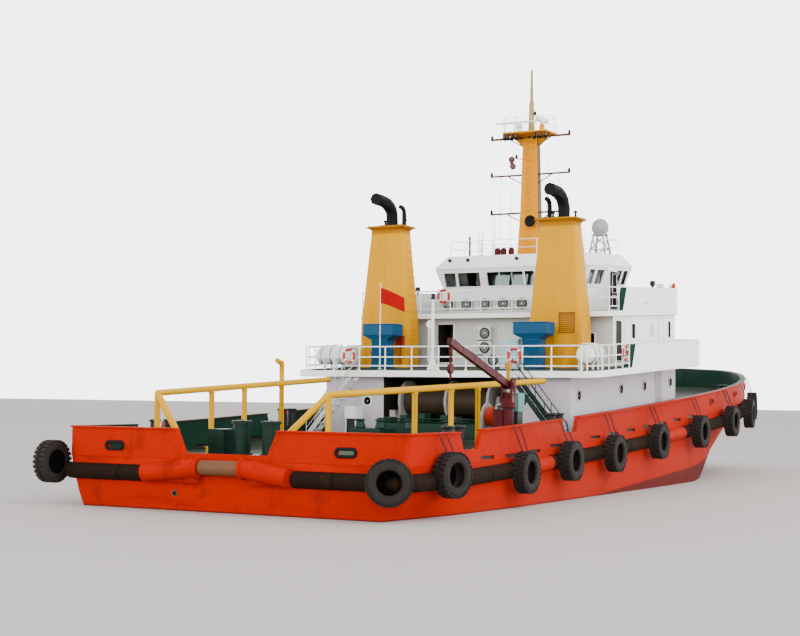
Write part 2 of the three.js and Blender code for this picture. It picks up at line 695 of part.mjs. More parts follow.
// Bridge deck with its wing bulwarks
function buildBridgeDeck() {
  const { aft, front, half, top, thick } = BRIDGE;
  const slab = plate(roundedPlate(aft, front, half, 300), top - thick, top);
  const wall = plate(roundedPlate(aft, front, half, 300), top - 10, top + 1080)
    .subtract(plate(roundedPlate(aft, front, half, 300, 100), top - 20, top + 1100));
  const keep = prism('y', [[21700, top - 50], [front + 100, top - 50], [front + 100, top + 1200],
    [22250, top + 1200]], -8000, 8000);
  return raked(join([slab, wall.intersect(keep)]), aft);
}

const bridgeDeck = addPart('bridge_deck', buildBridgeDeck(), 'white');

// The rail runs across the after edge, with a short return at each side
const bridgeInset = 140;
const bridgeRailAft = BRIDGE.aft + bridgeInset;
const bridgeRailPath = [[21500, 1], [bridgeRailAft, 1], [bridgeRailAft, -1], [21500, -1]]
  .map(([x, side]) => [x, side * (BRIDGE.half - bridgeInset), bridgeTop(x)]);
addPart('bridge_deck_rail', seatOn(railing(bridgeRailPath, [1, 8, 1]), bridgeDeck), 'white');

// Wheelhouse: hollow walls that lean outwards above the sills, windows and two side doorways cut
const WING_DOOR = { x0: 26300, x1: 27100, z0: 8540, z1: 10340 };
const DOOR_CASING = { x0: 26150, x1: 27250, y: 4130, z1: 10460 };
const WING_PIN = [WING_DOOR.x1 + 60, DOOR_CASING.y + 45];

function wheelhouseLevels(inset, z0, z1) {
  const { aft, front, half, lean, sill, top } = WHEELHOUSE;
  const level = (z) => {
    const out = Math.max(0, (z - sill + 100) / (top - sill + 100)) * lean - inset;
    return [z, aft - out, front + out, -half - out, half + out];
  };
  return taper([level(z0), level(sill - 100), level(z1)]);
}

// Windows as seen at the house's after end: across the stern from port to starboard, and along each side
const AFT_WINDOWS = [[-3640, -2980], [-2880, -1650], [-1280, -760], [-680, 1280], [1650, 2880], [2980, 3640]];
const SIDE_WINDOWS = [[23950, 24700], [24900, 25900], [27480, 28250], [28400, 29050]];
const FRONT_WINDOWS = { count: 7, margin: 150, post: 70 };

function buildWheelhouse() {
  const { aft, front, half, sill, head, top, wall } = WHEELHOUSE;
  const low = BRIDGE.top;
  let house = wheelhouseLevels(0, low, top).subtract(wheelhouseLevels(wall, low - 50, top + 200));
  const cutLength = 8000;
  AFT_WINDOWS.forEach(([y0, y1]) => {
    house = house.subtract(block(aft - 700, aft + 700, y0, y1, sill, head));
  });
  SIDE_WINDOWS.forEach(([x0, x1]) => {
    house = house.subtract(block(x0, x1, -cutLength, cutLength, sill, head));
  });
  const { count, margin, post } = FRONT_WINDOWS;
  const pitch = (2 * (half - margin)) / count;
  for (let i = 0; i < count; i += 1) {
    const y = margin - half + pitch * i;
    house = house.subtract(block(front - 700, front + 700, y + post, y + pitch - post, sill, head));
  }
  house = raked(house, aft);
  // An upright casing round each side doorway carries the door
  const casing = block(DOOR_CASING.x0, DOOR_CASING.x1, half - wall, DOOR_CASING.y, low + 200, DOOR_CASING.z1)
    .add(hingeLugs(WING_PIN, WING_DOOR.z0, WING_DOOR.z1, [0, -1], WING_PIN[1] - DOOR_CASING.y + 20));
  house = join([house, casing, mirror(casing)])
    .subtract(block(WING_DOOR.x0, WING_DOOR.x1, -cutLength, cutLength, WING_DOOR.z0, WING_DOOR.z1));
  return seatOn(house, bridgeDeck);
}

addPart('wheelhouse', buildWheelhouse(), 'white');

// Each wing door covers its doorway and swings out about a pin on its forward edge
function buildWingDoor() {
  const { x0, x1, z0, z1 } = WING_DOOR;
  const window = block(x0 + 180, x1 - 200, 0, 8000, WHEELHOUSE.sill + 100, z1 - 140);
  return hangingDoor(WING_PIN, z0, z1, x1 - x0 - 20).subtract(window);
}

const wingDoor = buildWingDoor();
addPart('wing_door_port', wingDoor, 'white');
addPart('wing_door_starboard', mirror(wingDoor), 'white');

// The roof's parapet leans inwards
function buildRoof() {
  const { aft, front, half, lean, top } = WHEELHOUSE;
  const eave = 20;
  const ring = (z, inset) => {
    const out = lean + eave - inset;
    return [z, aft - out, front + out, -half - out, half + out];
  };
  const solidRoof = taper([ring(top + SEAT, 0), ring(top + 70, 0), ring(PARAPET_TOP, 450)], 100);
  return raked(solidRoof.subtract(taper([ring(ROOF_TOP, 160), ring(PARAPET_TOP + 10, 550)], 100)), aft);
}

const roof = addPart('wheelhouse_roof', buildRoof(), 'white');

// Mast of tapering box section with its platform and signal yards
const MAST = { x: 26000, foot: 10650, platform: 17400, top: 20630 };

function buildMast() {
  const { x, foot, platform, top } = MAST;
  const ring = (z, long, wide) => [z, x - long, x + long, -wide, wide];
  const pieces = [
    taper([ring(foot, 330, 650), ring(13370, 240, 490), ring(platform, 170, 390)]),
    block(x - 520, x + 420, -760, 760, foot, foot + 200),
    block(x - 900, x + 520, -1200, 1200, platform - 80, platform),
    rod([x, 0, platform - 10], [x, 0, 19000], 170, 120, 10),
    rod([x, 0, 18950], [x, 0, top], 95, 60, 8),
  ];
  // Yards: [height, thickness]
  [[17180, 60], [15290, 50], [13370, 50]].forEach(([z, r]) => {
    pieces.push(rod([x - 150, -2180, z], [x - 150, 2180, z], r, r, 6));
  });
  // Brackets below the platform and the radar's pedestal
  [-1, 1].forEach((side) => {
    pieces.push(prism('x', [[side * 200, platform - 900], [side * 1100, platform - 60],
      [side * 200, platform - 60]], x - 60, x + 60));
  });
  pieces.push(rod([x - 620, -850, platform - 10], [x - 620, -850, platform + 300], 130, 130, 12));
  return seatOn(join(pieces), roof);
}

addPart('mast', buildMast(), 'yellow');

const SCANNER = { x: MAST.x - 620, y: -850, z: MAST.platform + 300 + SEAT };

function buildScanner() {
  const { x, y, z } = SCANNER;
  return join([
    rod([x, y, z], [x, y, z + 160], 90, 90, 16),
    block(x - 650, x + 650, y - 90, y + 90, z + 140, z + 340),
  ]);
}

addPart('radar_scanner', buildScanner(), 'white');

function buildDome() {
  const [x, y, low, high] = [27800, -3000, 10720, 12300];
  const pieces = [rod([x, y, high - 20], [x, y, high + 80], 400, 400, 16)];
  // Four splayed legs with a frame half way up
  const corners = [[-1, -1], [1, -1], [1, 1], [-1, 1]];
  corners.forEach(([dx, dy], i) => {
    const [nextX, nextY] = corners[(i + 1) % 4];
    pieces.push(rod([x + dx * 500, y + dy * 500, low], [x + dx * 240, y + dy * 240, high], 35, 35, 4));
    pieces.push(rod([x + dx * 370, y + dy * 370, 11510], [x + nextX * 370, y + nextY * 370, 11510],
      30, 30, 4));
  });
  const ball = new THREE.SphereGeometry(430, 14, 8);
  ball.rotateX(Math.PI / 2);
  ball.translate(x, y, 12700);
  pieces.push(solid(ball));
  return seatOn(join(pieces), roof);
}

addPart('satellite_dome', buildDome(), 'white');

// Five air-conditioning units on one sill across the bridge deck's after edge
function buildAircon() {
  const [x, low, high, pitch] = [20670, BRIDGE.top - 60, BRIDGE.top + 680, 960];
  const pieces = [block(x - 150, x + 250, -2400, 2400, low, low + 150)];
  for (let i = -2; i <= 2; i += 1) {
    pieces.push(block(x - 140, x + 220, i * pitch - 410, i * pitch + 410, low + 140, high));
  }
  return seatOn(join(pieces), bridgeDeck);
}

addPart('aircon_row', buildAircon(), 'white');

// Deck crane: post, slewing column and luffing boom with its hanging hook block
const CRANE = { x: 10000, y: -6300, floor: 1850, post: 3850, pivot: 4620, tip: [5050, 6150], lug: 25 };

function buildCranePost() {
  const { x, y, floor, post } = CRANE;
  return seatOn(join([
    rod([x, y, floor - 200], [x, y, post], 210, 210, 16),
    rod([x, y, floor - 200], [x, y, floor + 90], 400, 400, 16),
    rod([x, y, post - 80], [x, y, post], 300, 300, 16),
    block(x - 200, x + 200, y + 150, y + 560, 2950, 3700),
  ]), hull);
}

addPart('crane_post', buildCranePost(), 'maroon');

function buildCraneColumn() {
  const { x, y, post, pivot } = CRANE;
  const low = post + SEAT;
  return join([
    rod([x, y, low], [x, y, low + 120], 300, 300, 16),
    block(x - 190, x + 190, y - 240, y + 240, low + 60, low + 260),
    block(x - 190, x + 190, y - 240, y - 150, low + 200, pivot + 230),
    block(x - 190, x + 190, y + 150, y + 240, low + 200, pivot + 230),
  ]);
}

addPart('crane_column', buildCraneColumn(), 'maroon');

function buildCraneBoom() {
  const { x, y, pivot, tip } = CRANE;
  const [tipX, tipZ] = tip;
  const angle = Math.atan2(tipZ - pivot, x - tipX);
  const reach = Math.hypot(tipZ - pivot, x - tipX);
  const beam = new THREE.BoxGeometry(reach + 200, 180, 260);
  beam.translate(-reach / 2 - 20, 0, 0);
  beam.rotateY(angle);
  beam.translate(x, y, pivot);
  const cheek = 149;
  return join([
    solid(beam),
    rod([x, y - cheek, pivot], [x, y + cheek, pivot], 130, 130, 16),
    block(tipX - 90, tipX + 90, y - CRANE.lug, y + CRANE.lug, tipZ - 270, tipZ),
  ]);
}

addPart('crane_boom', buildCraneBoom(), 'maroon');

// The hook hangs from a fork that straddles the lug under the boom's tip
const HOOK_PIN_DROP = 210;

function buildCraneHook() {
  const { y, tip, lug } = CRANE;
  const [x, top] = [tip[0], tip[1] - HOOK_PIN_DROP];
  const inner = lug + SEAT;
  return join([
    block(x - 45, x + 45, y + inner, y + inner + 30, top - 160, top + 30),
    block(x - 45, x + 45, y - inner - 30, y - inner, top - 160, top + 30),
    block(x - 45, x + 45, y - inner - 30, y + inner + 30, top - 200, top - 140),
    rod([x, y, top - 180], [x, y, top - 700], 40, 40, 8),
    rod([x, y - 70, top - 760], [x, y + 70, top - 760], 170, 170, 12),
    rod([x, y, top - 860], [x, y, top - 1150], 60, 35, 8),
  ]);
}

addPart('crane_hook', buildCraneHook(), 'black');

// Towing winch in the bay: frame and drum
const WINCH = { x: 17500, z: 3900, y0: -2350, y1: 2350, flange: 960 };

function buildWinchFrame() {
  const { x, z, y0, y1 } = WINCH;
  const side = (y) => prism('y', [[x - 1000, 2000], [x + 1000, 2000], [x + 260, z + 260],
    [x - 260, z + 260]], y, y + 160);
  return seatOn(join([
    side(y0 - 160 - SEAT), side(y1 + SEAT),
    block(x - 1000, x - 760, y0 - 160, y1 + 160, 2000, 2640),
    block(x + 760, x + 1000, y0 - 160, y1 + 160, 2000, 2640),
  ]), hull);
}

addPart('winch_frame', buildWinchFrame(), 'grey');

function buildWinchDrum() {
  const { x, z, y0, y1, flange } = WINCH;
  const pieces = [
    rod([x, y0, z], [x, y1, z], 150, 150, 20),
    rod([x, y0 + 100, z], [x, y1 - 100, z], 430, 430, 20),
  ];
  [y0 + 100, -160, y1 - 180].forEach((y) => {
    pieces.push(rod([x, y, z], [x, y + 80, z], flange, flange, 24));
  });
  return join(pieces);
}

addPart('winch_drum', buildWinchDrum(), 'grey');

// Small side winch on the starboard quarter of the working deck
const SIDE_WINCH = { x: 12900, y: -4300, z: 3350 };

function buildSideWinchFrame() {
  const { x, y, z } = SIDE_WINCH;
  const side = (from) => block(x - 260, x + 260, from, from + 120, 1800, z + 200);
  return seatOn(join([
    side(y - 520 - SEAT), side(y + 400 + SEAT),
    block(x - 420, x + 420, y - 520, y + 520, 1800, 2500),
  ]), hull);
}

addPart('side_winch_frame', buildSideWinchFrame(), 'grey');

function buildSideWinchDrum() {
  const { x, y, z } = SIDE_WINCH;
  return join([
    rod([x, y - 400, z], [x, y + 400, z], 100, 100, 16),
    rod([x, y - 330, z], [x, y + 330, z], 300, 300, 20),
    rod([x, y - 330, z], [x, y - 270, z], 560, 560, 20),
    rod([x, y + 270, z], [x, y + 330, z], 560, 560, 20),
  ]);
}

addPart('side_winch_drum', buildSideWinchDrum(), 'orange');

// Stairs across the ship from the working deck to the boat deck's after edge
function buildStairs() {
  const [x0, x1] = [15150, 15900];
  const [low, high] = [[6450, 2050], [4050, 4930]];
  const steps = 10;
  const pieces = [];
  [[x0, x0 + 50], [x1 - 50, x1]].forEach(([a, b]) => {
    pieces.push(prism('x', [[low[0] + 130, low[1]], [low[0], low[1] + 180], [high[0] + 130, high[1]],
      [high[0] - 120, high[1]], [low[0] - 150, low[1]]], a, b));
  });
  for (let i = 1; i <= steps; i += 1) {
    const t = i / (steps + 0.5);
    const y = low[0] + (high[0] - low[0]) * t;
    const z = low[1] + (high[1] - low[1]) * t;
    pieces.push(block(x0 + 10, x1 - 10, y - 110, y + 110, z - 20, z + 20));
  }
  return seatOn(join(pieces), hull);
}

const stairs = buildStairs();
addPart('stairs_port', stairs, 'grey');
addPart('stairs_starboard', mirror(stairs), 'darkGreen');

// Liferaft canisters on cradles
function raft(centre, across) {
  const [x, y] = centre;
  const floor = boatDeckTop(x);
  const direction = across ? [0, 1] : [1, 0];
  const end = (t) => [x + direction[0] * t, y + direction[1] * t, floor + 640];
  const cradle = across
    ? block(x - 300, x + 300, y - 500, y + 500, floor - 120, floor + 300)
    : block(x - 500, x + 500, y - 300, y + 300, floor - 120, floor + 300);
  return seatOn(join([rod(end(-840), end(840), 420, 420, 16), cradle]), boatDeck);
}

addPart('liferaft_port', raft([17000, 5950], true), 'white');
addPart('liferaft_starboard', raft([17400, -6750], false), 'white');

// Anchor windlass on the foredeck
const WINDLASS = { x: 38500, z: 4450 };

function buildWindlassFrame() {
  const { x, z } = WINDLASS;
  const side = (y) => block(x - 260, x + 260, y, y + 160, 3000, z + 220);
  return seatOn(join([
    side(-1360 - SEAT), side(1200 + SEAT),
    block(x - 700, x + 700, -1360, 1360, 3000, 3900),
  ]), hull);
}

addPart('windlass_frame', buildWindlassFrame(), 'darkGreen');

function buildWindlassDrum() {
  const { x, z } = WINDLASS;
  const pieces = [rod([x, -1200, z], [x, 1200, z], 120, 120, 18)];
  [-900, 760].forEach((y) => {
    pieces.push(rod([x, y, z], [x, y + 140, z], 470, 470, 18));
  });
  pieces.push(rod([x, -900, z], [x, 900, z], 260, 260, 18));
  return join(pieces);
}

addPart('windlass_drum', buildWindlassDrum(), 'darkGreen');

// Anchors stowed at the bow, against the shell below the bulwark
function buildAnchor() {
  const [x, z] = [46200, 2900];
  const y = halfBreadth(x, z);
  const out = [0.62, 0.785];
  const at = (away, along, up) => [
    x + out[0] * away + out[1] * along, y + out[1] * away - out[0] * along, up];
  return join([
    rod(at(-300, 0, z + 500), at(200, 0, z - 500), 110, 110, 10),
    rod(at(150, -520, z - 480), at(150, 520, z - 480), 110, 110, 10),
    rod(at(150, -520, z - 480), at(190, -480, z + 220), 130, 30, 8),
    rod(at(150, 520, z - 480), at(190, 480, z + 220), 130, 30, 8),
  ]).subtract(hullSkin);
}

// Propellers in nozzles, with rudders behind them
const SCREW = { x: 3650, y: 3000, z: -2780, hub: 210, tip: 1180, nozzleInner: 1240, nozzleOuter: 1400 };

function buildStruts() {
  const { x, y, z, nozzleInner, nozzleOuter } = SCREW;
  const profile = [[nozzleInner, -620], [nozzleOuter, -480], [nozzleOuter + 20, 520], [nozzleInner, 620]];
  const ring = new THREE.LatheGeometry([...profile, profile[0]].map(([r, h]) => new THREE.Vector2(r, h)), 28);
  ring.rotateZ(-Math.PI / 2);
  ring.translate(x, y, z);
  const shaft = rod([x + 480 + SEAT, y, z], [9800, y, z], 200, 230, 16);
  const arms = join([
    block(x + 520, x + 700, y - 60, y + 60, z, -900),
    block(x + 520, x + 700, y - 1330, y + 1330, z - 50, z + 50),
    block(x - 350, x + 350, y - 220, y + 220, z + nozzleInner + 60, -900),
  ]);
  const trunk = rod([1700, y, -1480], [1700, y, -800], 260, 260, 16);
  const bridge = block(1700, x - 300, y - 90, y + 90, -1480, -900);
  return join([solid(ring), shaft, arms, trunk, bridge]).subtract(hull.translate([0, 0, -SEAT]));
}

const nozzle = buildStruts();
addPart('nozzle_port', nozzle, 'red');
addPart('nozzle_starboard', mirror(nozzle), 'red');

function buildPropeller() {
  const { x, y, z, hub, tip } = SCREW;
  const pieces = [rod([x - 420, y, z], [x + 480, y, z], 130, hub, 16)];
  const blade = new THREE.Shape();
  blade.moveTo(-150, 60);
  blade.bezierCurveTo(-420, 500, -430, 900, -200, tip - 60);
  blade.lineTo(120, tip);
  blade.bezierCurveTo(420, 900, 300, 500, 150, 60);
  for (let i = 0; i < 4; i += 1) {
    const geometry = new THREE.ExtrudeGeometry(blade, { depth: 60, bevelEnabled: false, curveSegments: 3 });
    geometry.translate(0, 0, -30);
    geometry.rotateY(0.95);
    geometry.rotateX(Math.PI / 2 + (i * Math.PI) / 2);
    geometry.translate(x, y, z);
    pieces.push(solid(geometry));
  }
  return join(pieces);
}

const propeller = buildPropeller();
addPart('propeller_port', propeller, 'bronze');
addPart('propeller_starboard', mirror(propeller), 'bronze');

function buildRudder() {
  const { y } = SCREW;
  const blade = prism('z', [[2350, y], [2150, y + 130], [1500, y + 110], [500, y + 20],
    [500, y - 20], [1500, y - 110],
    [2150, y - 130]], -4000, -1640);
  return join([blade, rod([1700, y, -1700], [1700, y, -1480 - SEAT], 150, 150, 16)]);
}

const rudder = buildRudder();
addPart('rudder_port', rudder, 'red');
addPart('rudder_starboard', mirror(rudder), 'red');

const anchor = buildAnchor();
addPart('anchor_port', anchor, 'black');
addPart('anchor_starboard', mirror(anchor), 'black');

export default tug;
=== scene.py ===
"""The looks of an ocean tugboat, a 1:2 model of a ship about 50 m long, seen from its starboard quarter.

Sizes are the real ship's, in metres: X forward from the transom, Y to port, Z up from the waterline.
"""

import json
import math

import bmesh
import bpy
from mathutils import Matrix, Vector


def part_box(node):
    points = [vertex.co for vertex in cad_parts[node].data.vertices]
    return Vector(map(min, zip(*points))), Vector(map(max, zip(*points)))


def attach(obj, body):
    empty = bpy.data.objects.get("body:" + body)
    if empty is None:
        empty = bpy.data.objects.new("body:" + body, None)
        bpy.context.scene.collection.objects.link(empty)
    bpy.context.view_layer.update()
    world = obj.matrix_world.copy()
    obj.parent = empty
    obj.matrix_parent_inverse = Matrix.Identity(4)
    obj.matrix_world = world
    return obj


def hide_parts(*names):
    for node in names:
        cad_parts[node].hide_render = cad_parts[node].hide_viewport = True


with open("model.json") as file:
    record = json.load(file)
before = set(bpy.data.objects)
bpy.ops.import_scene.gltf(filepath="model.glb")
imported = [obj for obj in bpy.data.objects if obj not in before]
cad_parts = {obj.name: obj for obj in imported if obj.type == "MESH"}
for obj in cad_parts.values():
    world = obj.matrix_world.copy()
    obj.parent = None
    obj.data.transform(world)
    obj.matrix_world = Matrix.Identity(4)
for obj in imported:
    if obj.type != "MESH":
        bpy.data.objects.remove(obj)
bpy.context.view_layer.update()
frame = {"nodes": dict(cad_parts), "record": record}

MODEL_SCALE = 0.5
UP = Vector((0, 0, 1))
AFT = Vector((-1, 0, 0))
SIDES = (("port", 1), ("starboard", -1))
# The corners of a square, in order round it
CORNERS = ((-1, -1), (1, -1), (1, 1), (-1, 1))


def at(x, y, z):
    """A point of the real ship, in the half-size model."""
    return Vector((x, y, z)) * MODEL_SCALE


def middle_of(face):
    """The middle of a face, in the real ship's sizes."""
    return face.calc_center_median() / MODEL_SCALE


def turn_to(first, second, third):
    """The turn that brings the axes to three directions."""
    return Matrix((first, second, third)).transposed().to_quaternion()


def angles(count):
    """Equal steps round a circle."""
    return [k * math.tau / count for k in range(count)]


# Camera
# It looks from the water off the starboard quarter. Place and angles were worked out from the ship's right
# angles and its symmetry.
def aim(yaw, pitch, roll):
    """The turn of a camera that looks along yaw and pitch, rolled about its own line of sight."""
    ahead = Vector((math.cos(pitch) * math.cos(yaw), math.cos(pitch) * math.sin(yaw), math.sin(pitch)))
    right = Vector((math.sin(yaw), -math.cos(yaw), 0))
    above = right.cross(ahead)
    level, steep = math.cos(roll), math.sin(roll)
    return turn_to(level * right + steep * above, level * above - steep * right, -ahead)


camera_data = bpy.data.cameras.new("camera")
camera_data.lens = 69.56
camera_data.sensor_width = 36
camera_data.clip_end = 500
camera = bpy.data.objects.new("camera", camera_data)
camera.location = at(-44.788, -31.905, 4.363)
camera.rotation_mode = "QUATERNION"
camera.rotation_quaternion = aim(math.radians(29.084), math.radians(2.705), math.radians(0.603))
bpy.context.scene.collection.objects.link(camera)
bpy.context.scene.camera = camera


# Studio
# A plain pale floor lies at the waterline, under an overcast light. One broad lamp stands high to starboard
# and a weaker one astern.
def plain_material(name, colour, roughness):
    made = bpy.data.materials.new(name)
    made.use_nodes = True
    shader = made.node_tree.nodes["Principled BSDF"]
    shader.inputs["Base Color"].default_value = (*colour, 1)
    shader.inputs["Roughness"].default_value = roughness
    return made


FLOOR_SIZE = 400
bpy.ops.mesh.primitive_plane_add(size=FLOOR_SIZE)
floor = bpy.context.object
floor.name = "studio_floor"
floor.data.materials.append(plain_material("pale_floor", (0.42, 0.385, 0.36), 0.9))

# The haze at the horizon is brighter than the cloud overhead
HORIZON_LIGHT, CLOUD_LIGHT = 5.0, 1.1
world = bpy.data.worlds.new("overcast")
world.use_nodes = True
sky = world.node_tree
background = sky.nodes["Background"]
background.inputs["Color"].default_value = (0.97, 0.985, 1, 1)
sky_place = sky.nodes.new("ShaderNodeTexCoord")
sky_parts = sky.nodes.new("ShaderNodeSeparateXYZ")
sky_light = sky.nodes.new("ShaderNodeMapRange")
sky_light.interpolation_type = "SMOOTHSTEP"
sky_light.inputs["From Min"].default_value = 0.26
sky_light.inputs["From Max"].default_value = 0.5
sky_light.inputs["To Min"].default_value = HORIZON_LIGHT
sky_light.inputs["To Max"].default_value = CLOUD_LIGHT
sky.links.new(sky_place.outputs["Generated"], sky_parts.inputs[0])
sky.links.new(sky_parts.outputs["Z"], sky_light.inputs["Value"])
sky.links.new(sky_light.outputs[0], background.inputs["Strength"])
bpy.context.scene.world = world

# Each lamp: name, strength, size, place, point that it faces
for name, strength, size, place, target in [
    ("sky_lamp", 15000, 30, at(14, -70, 66), at(20, 0, 4)),
    ("stern_lamp", 3500, 24, at(-50, -10, 45), at(5, 0, 3)),
]:
    lamp_data = bpy.data.lights.new(name, "AREA")
    lamp_data.energy = strength
    lamp_data.size = size
    lamp = bpy.data.objects.new(name, lamp_data)
    lamp.location = place
    lamp.rotation_mode = "QUATERNION"
    lamp.rotation_quaternion = (target - place).to_track_quat("-Z", "Y")
    bpy.context.scene.collection.objects.link(lamp)


# Hull plating
# Welded steel shell, painted orange-red above a dark red boot-top that rises towards the bow. Darker in
# patches and stained below the belt, with faint welds at every strake, and lines of painted shade where the
# stays show through the bulwark.
def adder(tree):
    """A short way to add a node to a tree, with its links, values and settings."""

    def add(kind, values=None, **settings):
        node = tree.nodes.new(kind)
        for key, value in settings.items():
            setattr(node, key, value)
        for key, value in (values or {}).items():
            if isinstance(value, bpy.types.NodeSocket):
                tree.links.new(value, node.inputs[key])
            else:
                node.inputs[key].default_value = value
        return node

    return add


def node_maker(material):
    """Short ways to add and link nodes in one material, its shader, and the place on the ship."""
    tree = material.node_tree
    add = adder(tree)
    place = add("ShaderNodeTexCoord").outputs["Object"]
    return add, tree.nodes["Principled BSDF"], tree.links.new, place


def maths(add, operation, *values):
    """The result of one Math node."""
    return add("ShaderNodeMath", dict(enumerate(values)), operation=operation).outputs[0]


def between(add, value, low, high, least=0.0, most=1.0):
    """Where a value lies between two limits, given on a scale from least to most."""
    limits = {"From Min": low, "From Max": high, "To Min": least, "To Max": most}
    return add("ShaderNodeMapRange", {"Value": value, **limits}).outputs[0]


def colour_ramp(add, factor, stops):
    """A ramp from factor through stops of (place, colour)."""
    node = add("ShaderNodeValToRGB", {"Fac": factor})
    node.color_ramp.interpolation = "EASE"
    while len(node.color_ramp.elements) < len(stops):
        node.color_ramp.elements.new(0.5)
    for element, (place, colour) in zip(node.color_ramp.elements, stops):
        element.position = place
        element.color = (*colour, 1) if hasattr(colour, "__len__") else (colour, colour, colour, 1)
    return node.outputs["Color"]


def mixed(add, factor, under, over):
    """One colour laid over another."""
    node = add("ShaderNodeMix", data_type="RGBA")
    tree = node.id_data
    for index, value in ((0, factor), (6, under), (7, over)):
        if isinstance(value, bpy.types.NodeSocket):
            tree.links.new(value, node.inputs[index])
        elif hasattr(value, "__len__"):
            node.inputs[index].default_value = (*value, 1)
        else:
            node.inputs[index].default_value = value
    return node.outputs[2]


def noise(add, place, scale, stretch=(1, 1, 1), detail=6, roughness=0.6):
    """Cloudy noise on the ship's own coordinates, in features per model metre."""
    mapping = add("ShaderNodeMapping", {"Vector": place, "Scale": stretch})
    made = add("ShaderNodeTexNoise", {"Vector": mapping.outputs[0], "Scale": scale, "Detail": detail,
                                      "Roughness": roughness})
    return made.outputs["Fac"]


def painted(name, colour, stain=(0.12, 0.05, 0.025), wear=0.25, streaks=0.3, roughness=0.45, grain=0.004,
            gloss=0.18):
    """Weathered ship's paint: uneven tone, rain streaks, rust specks and a slightly rippled surface."""
    material = bpy.data.materials.new(name)
    material.use_nodes = True
    add, shader, link, place = node_maker(material)
    shader.inputs["Specular IOR Level"].default_value = gloss
    cloud = noise(add, place, 0.9)
    tone = mixed(add, cloud, [c * 0.88 for c in colour], [min(1, c * 1.08) for c in colour])
    rain = colour_ramp(add, noise(add, place, 3.0, (2.2, 2.2, 0.22), 8, 0.7), [(0.5, 0), (0.8, 1)])
    tone = mixed(add, maths(add, "MULTIPLY", rain, streaks), tone,
                 [0.55 * c + 0.45 * s for c, s in zip(colour, stain)])
    specks = colour_ramp(add, noise(add, place, 7, (1, 1, 0.6), 10, 0.75), [(0.64, 0), (0.72, 1)])
    tone = mixed(add, maths(add, "MULTIPLY", specks, wear), tone, stain)
    link(tone, shader.inputs["Base Color"])
    link(between(add, cloud, 0, 1, roughness - 0.1, roughness + 0.15), shader.inputs["Roughness"])
    bump = add("ShaderNodeBump", {"Strength": 0.5, "Distance": grain, "Height": noise(add, place, 5)})
    link(bump.outputs[0], shader.inputs["Normal"])
    return material


SHARP = 35


def rounded_copy(node):
    """A copy of a solid's mesh with its triangles merged into whole faces."""
    whole = bmesh.new()
    whole.from_mesh(frame["nodes"][node].data)
    bmesh.ops.remove_doubles(whole, verts=whole.verts, dist=0.00005)
    bmesh.ops.dissolve_limit(whole, angle_limit=math.radians(0.4), verts=whole.verts, edges=whole.edges)
    return whole


def body_of_node(node):
    return next(body for body, nodes in frame["record"]["behaviour"]["bodies"].items() if node in nodes)


def placed(name, mesh, body, sharp):
    """An object with smooth faces between its sharp edges, which rides on a body."""
    mesh.polygons.foreach_set("use_smooth", [True] * len(mesh.polygons))
    mesh.set_sharp_from_angle(angle=math.radians(sharp))
    piece = bpy.data.objects.new(name, mesh)
    bpy.context.scene.collection.objects.link(piece)
    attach(piece, body)
    return piece


def as_piece(name, shape, materials, body="ship", bevel=0.0, sharp=SHARP):
    """Turns a finished bmesh into a named piece that rides on a body."""
    mesh = bpy.data.meshes.new(name)
    shape.to_mesh(mesh)
    shape.free()
    for material in materials if isinstance(materials, list) else [materials]:
        mesh.materials.append(material)
    piece = placed(name, mesh, body, sharp)
    if bevel:
        edge = piece.modifiers.new("rounded edges", "BEVEL")
        edge.width = bevel * MODEL_SCALE
        edge.segments = 2
        edge.limit_method = "ANGLE"
        edge.angle_limit = math.radians(40)
        edge.use_clamp_overlap = True
        edge.harden_normals = True
    return piece


def dress(node, materials, bevel=0.02, sharp=SHARP, paint_faces=None):
    """A smooth, edge-rounded copy of a solid that stands for it, in its own finish."""
    shape = rounded_copy(node)
    if paint_faces:
        for face in shape.faces:
            face.material_index = paint_faces(face)
    piece = as_piece(f"{node}_finished", shape, materials, body_of_node(node), bevel,
                     sharp)
    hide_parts(node)
    return piece


HULL_ORANGE = (0.4, 0.0085, 0.0)
# Paint that is a duller salmon along the sides, darker in patches low down, scraped on the transom, and
# crossed by lines of painted shade where the stays show through the bulwark
SIDE_SALMON = (0.3, 0.02, 0.009)
LOW_PATCH_RED = (0.17, 0.008, 0.004)
SCRAPED = (0.23, 0.012, 0.004)
STAY_SHADE = (0.15, 0.008, 0.004)
BOOT_TOP = (0.1, 0.014, 0.011)
DECK_PAINT = (0.032, 0.043, 0.03)


